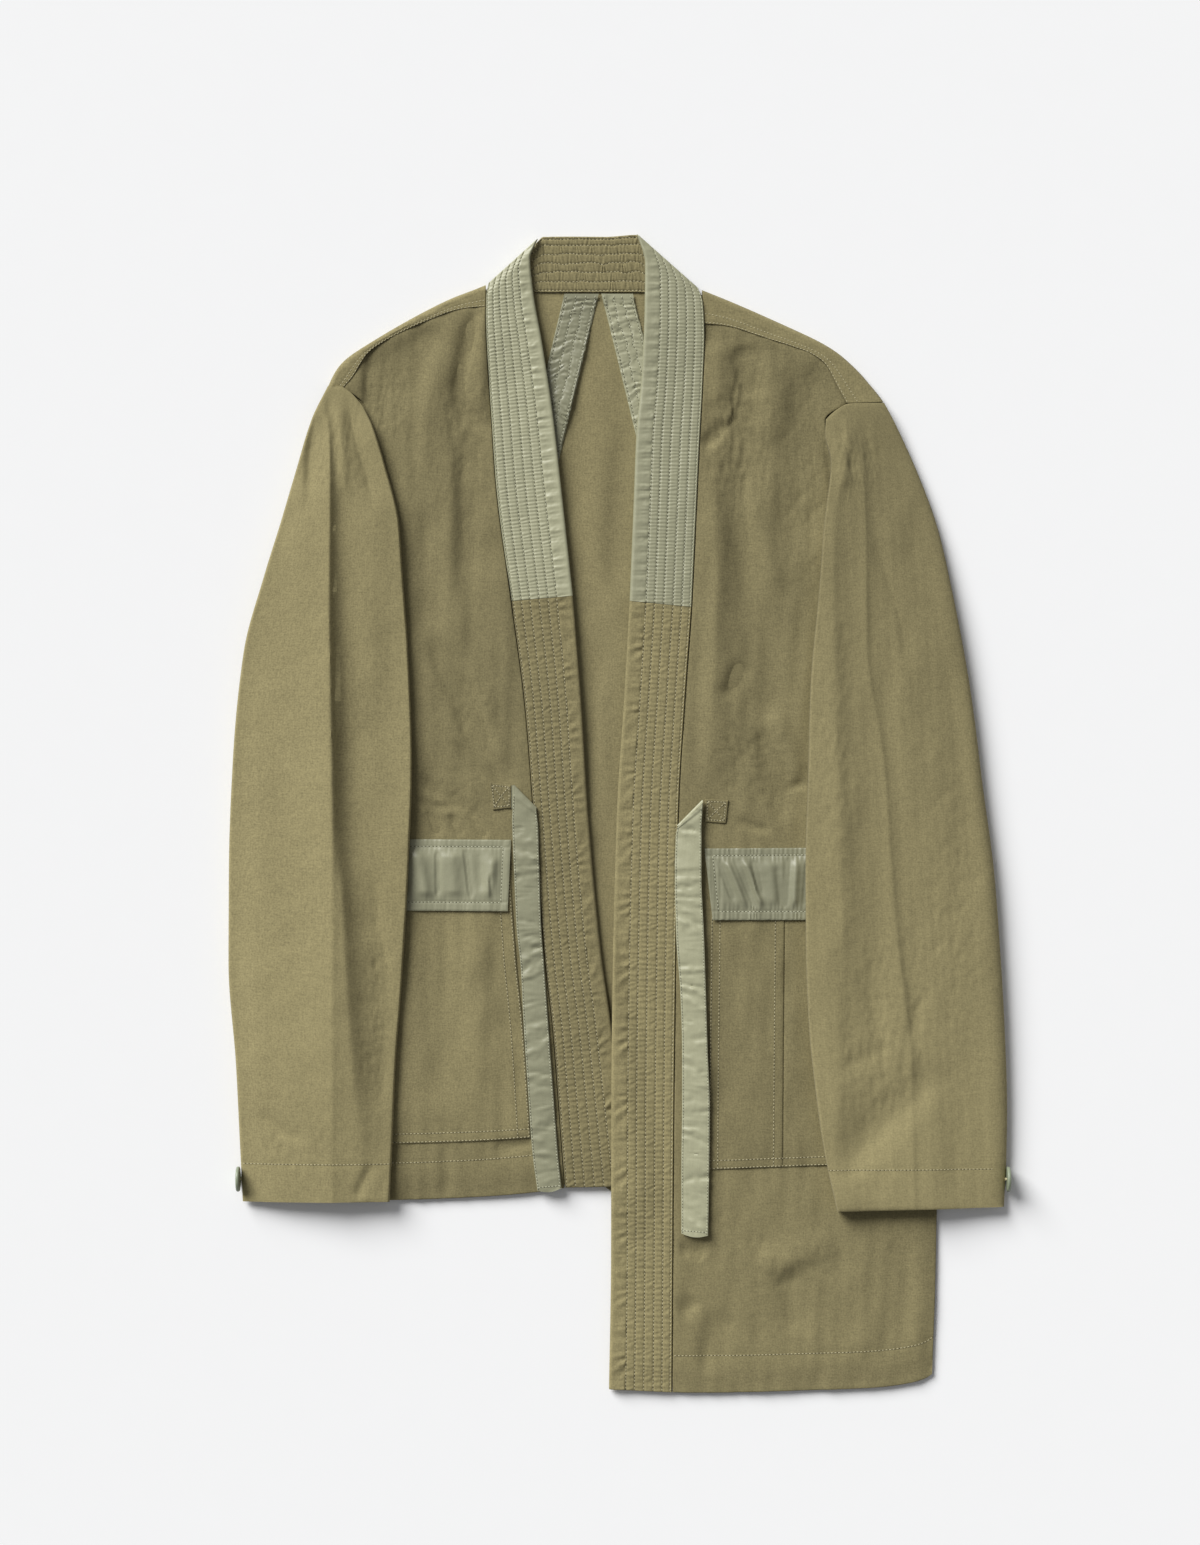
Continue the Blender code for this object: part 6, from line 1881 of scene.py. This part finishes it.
def stage():
    """A wide sheet of paper just below the jacket."""
    half = 6.0
    below = 0.0002
    data = bpy.data.meshes.new("floor")
    data.from_pydata([(-half, -half, 0), (half, -half, 0), (half, half, 0), (-half, half, 0)],
                     [], [(0, 1, 2, 3)])
    data.materials.append(floor_paper())
    made = add_object("floor", data)
    made.location.z = -below


def light():
    """A broad soft key from the upper left and an even fill."""
    key_from = Vector((-0.64, 0.76, 0.62))
    sun = bpy.data.lights.new("key", "SUN")
    sun.energy = 4.4
    sun.angle = math.radians(36.0)
    key = add_object("key", sun)
    key.rotation_mode = "QUATERNION"
    key.rotation_quaternion = key_from.to_track_quat("Z", "Y")
    world = bpy.data.worlds.new("soft_fill")
    world.use_nodes = True
    background = world.node_tree.nodes["Background"]
    background.inputs["Color"].default_value = (0.97, 0.98, 1.0, 1.0)
    background.inputs["Strength"].default_value = 0.235
    scene = bpy.context.scene
    scene.world = world
    scene.view_settings.view_transform = "Standard"
    scene.view_settings.look = "None"


def camera():
    """Straight above the jacket, framed as in the photograph."""
    frame_height = 1236.0
    distance = 2400.0
    above_floor = 7.0
    data = bpy.data.cameras.new("camera")
    data.sensor_width = 36.0
    data.lens = data.sensor_width * distance / frame_height
    data.clip_end = 20.0
    made = add_object("camera", data)
    made.location = (-15.4 * MM, 32.9 * MM, (distance + above_floor) * MM)
    bpy.context.scene.camera = made


def fronts():
    """Both fronts, which the pieces above them are laid on."""
    short_front = Panel("short_side", SHORT_FRONT, SHORT_SHOULDER_SEAM, SHORT_HEM,
                        SHORT_BAND_LOWER + SHORT_BAND_UPPER[1:], SHORT_FOLDS, SHORT_CRUMPLES,
                        fall_from=320.0, seed=201)
    long_front = Panel("long_side", LONG_FRONT, LONG_SHOULDER_SEAM, LONG_HEM,
                       LONG_BAND_LOWER + LONG_BAND_UPPER[1:], LONG_FOLDS, LONG_CRUMPLES,
                       fall_from=308.0, seed=203)
    short_front.build()
    long_front.build()
    return short_front, long_front


def pockets(short_front, long_front):
    """A pocket and its flap on each front."""
    pocket(short_front, high_y=-40.0, low_y=-257.0, low_part=0.106, high_part=0.64,
           side_rows=(1.8, 8.4), pleat=None)
    pocket(long_front, high_y=-47.0, low_y=-286.0, low_part=0.13, high_part=0.64,
           side_rows=(1.8, 6.6), pleat=0.412)
    flap(short_front, high_y=-21.0, low_y=-78.0, high_parts=(0.094, 0.60),
         low_parts=(0.124, 0.60), crinkles=SHORT_CRINKLES, gathered=0.7)
    flap(long_front, high_y=-28.0, low_y=-85.0, high_parts=(0.101, 0.57),
         low_parts=(0.136, 0.57), crinkles=LONG_CRINKLES, gathered=2.2)


def tabs_and_ties():
    """A tab and the tie that it holds on each front."""
    tab("short_side", [(-103.8, 25.0), (-86.4, 23.0), (-86.4, 4.5), (-101.2, 2.9)])
    tab("long_side", [(68.6, 11.7), (87.4, 10.9), (85.4, -7.8), (68.6, -6.7)])
    tie("short_side", away=1.0, tab_edge=(-86.1, -86.1), corner=(-84.6, 22.6),
        elbow=(-66.4, 4.2), rows=SHORT_TIE, right_lift=0.9, seed=301)
    tie("long_side", away=-1.0, tab_edge=(66.95, 65.2), corner=(66.8, 10.4),
        elbow=(46.6, -10.0), rows=LONG_TIE, right_lift=3.2, seed=305)


def sleeves():
    """Both sleeves, over the fronts and the pockets."""
    sleeve("short_side", SHORT_SLEEVE, SHORT_SWELL, SHORT_CAP, runs=(2.0, 1.4),
           creases=(SHORT_SLEEVE_FOLDS, SHORT_RIDGES, SHORT_SLEEVE_CRUMPLES, 401))
    sleeve("long_side", LONG_SLEEVE, LONG_SWELL, LONG_CAP, runs=(15.0, 0.7),
           creases=(LONG_SLEEVE_FOLDS, LONG_RIDGES, LONG_SLEEVE_CRUMPLES, 405))


def stitches():
    """The threads of the whole jacket, and their painted shade where they dive into the cloth, joined
    into pieces for each cloth.
    """
    for slot, kind in (("olive_cloth", "olive"), ("satin", "satin")):
        for made in SEWN[slot].make(kind + "_stitches", LOOKS[kind + "_thread"],
                                    kind + "_needle_hole_shades", LOOKS["hole"]):
            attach(made, "root")


def dress():
    """Every piece from the bottom of the pile to its top."""
    back()
    neck_band()
    strap("short_side", SHORT_STRAP, seed=90, raised=1.9)
    strap("long_side", LONG_STRAP, seed=120, raised=0.0)
    bands()
    pockets(*fronts())
    tabs_and_ties()
    sleeves()
    button("button_short_side", Button(edge_x=-302.8, away=-1.0, y=-291.9))
    button("button_long_side", Button(edge_x=309.2, away=1.0, y=-292.0))
    stitches()


stage()
light()
camera()
dress()
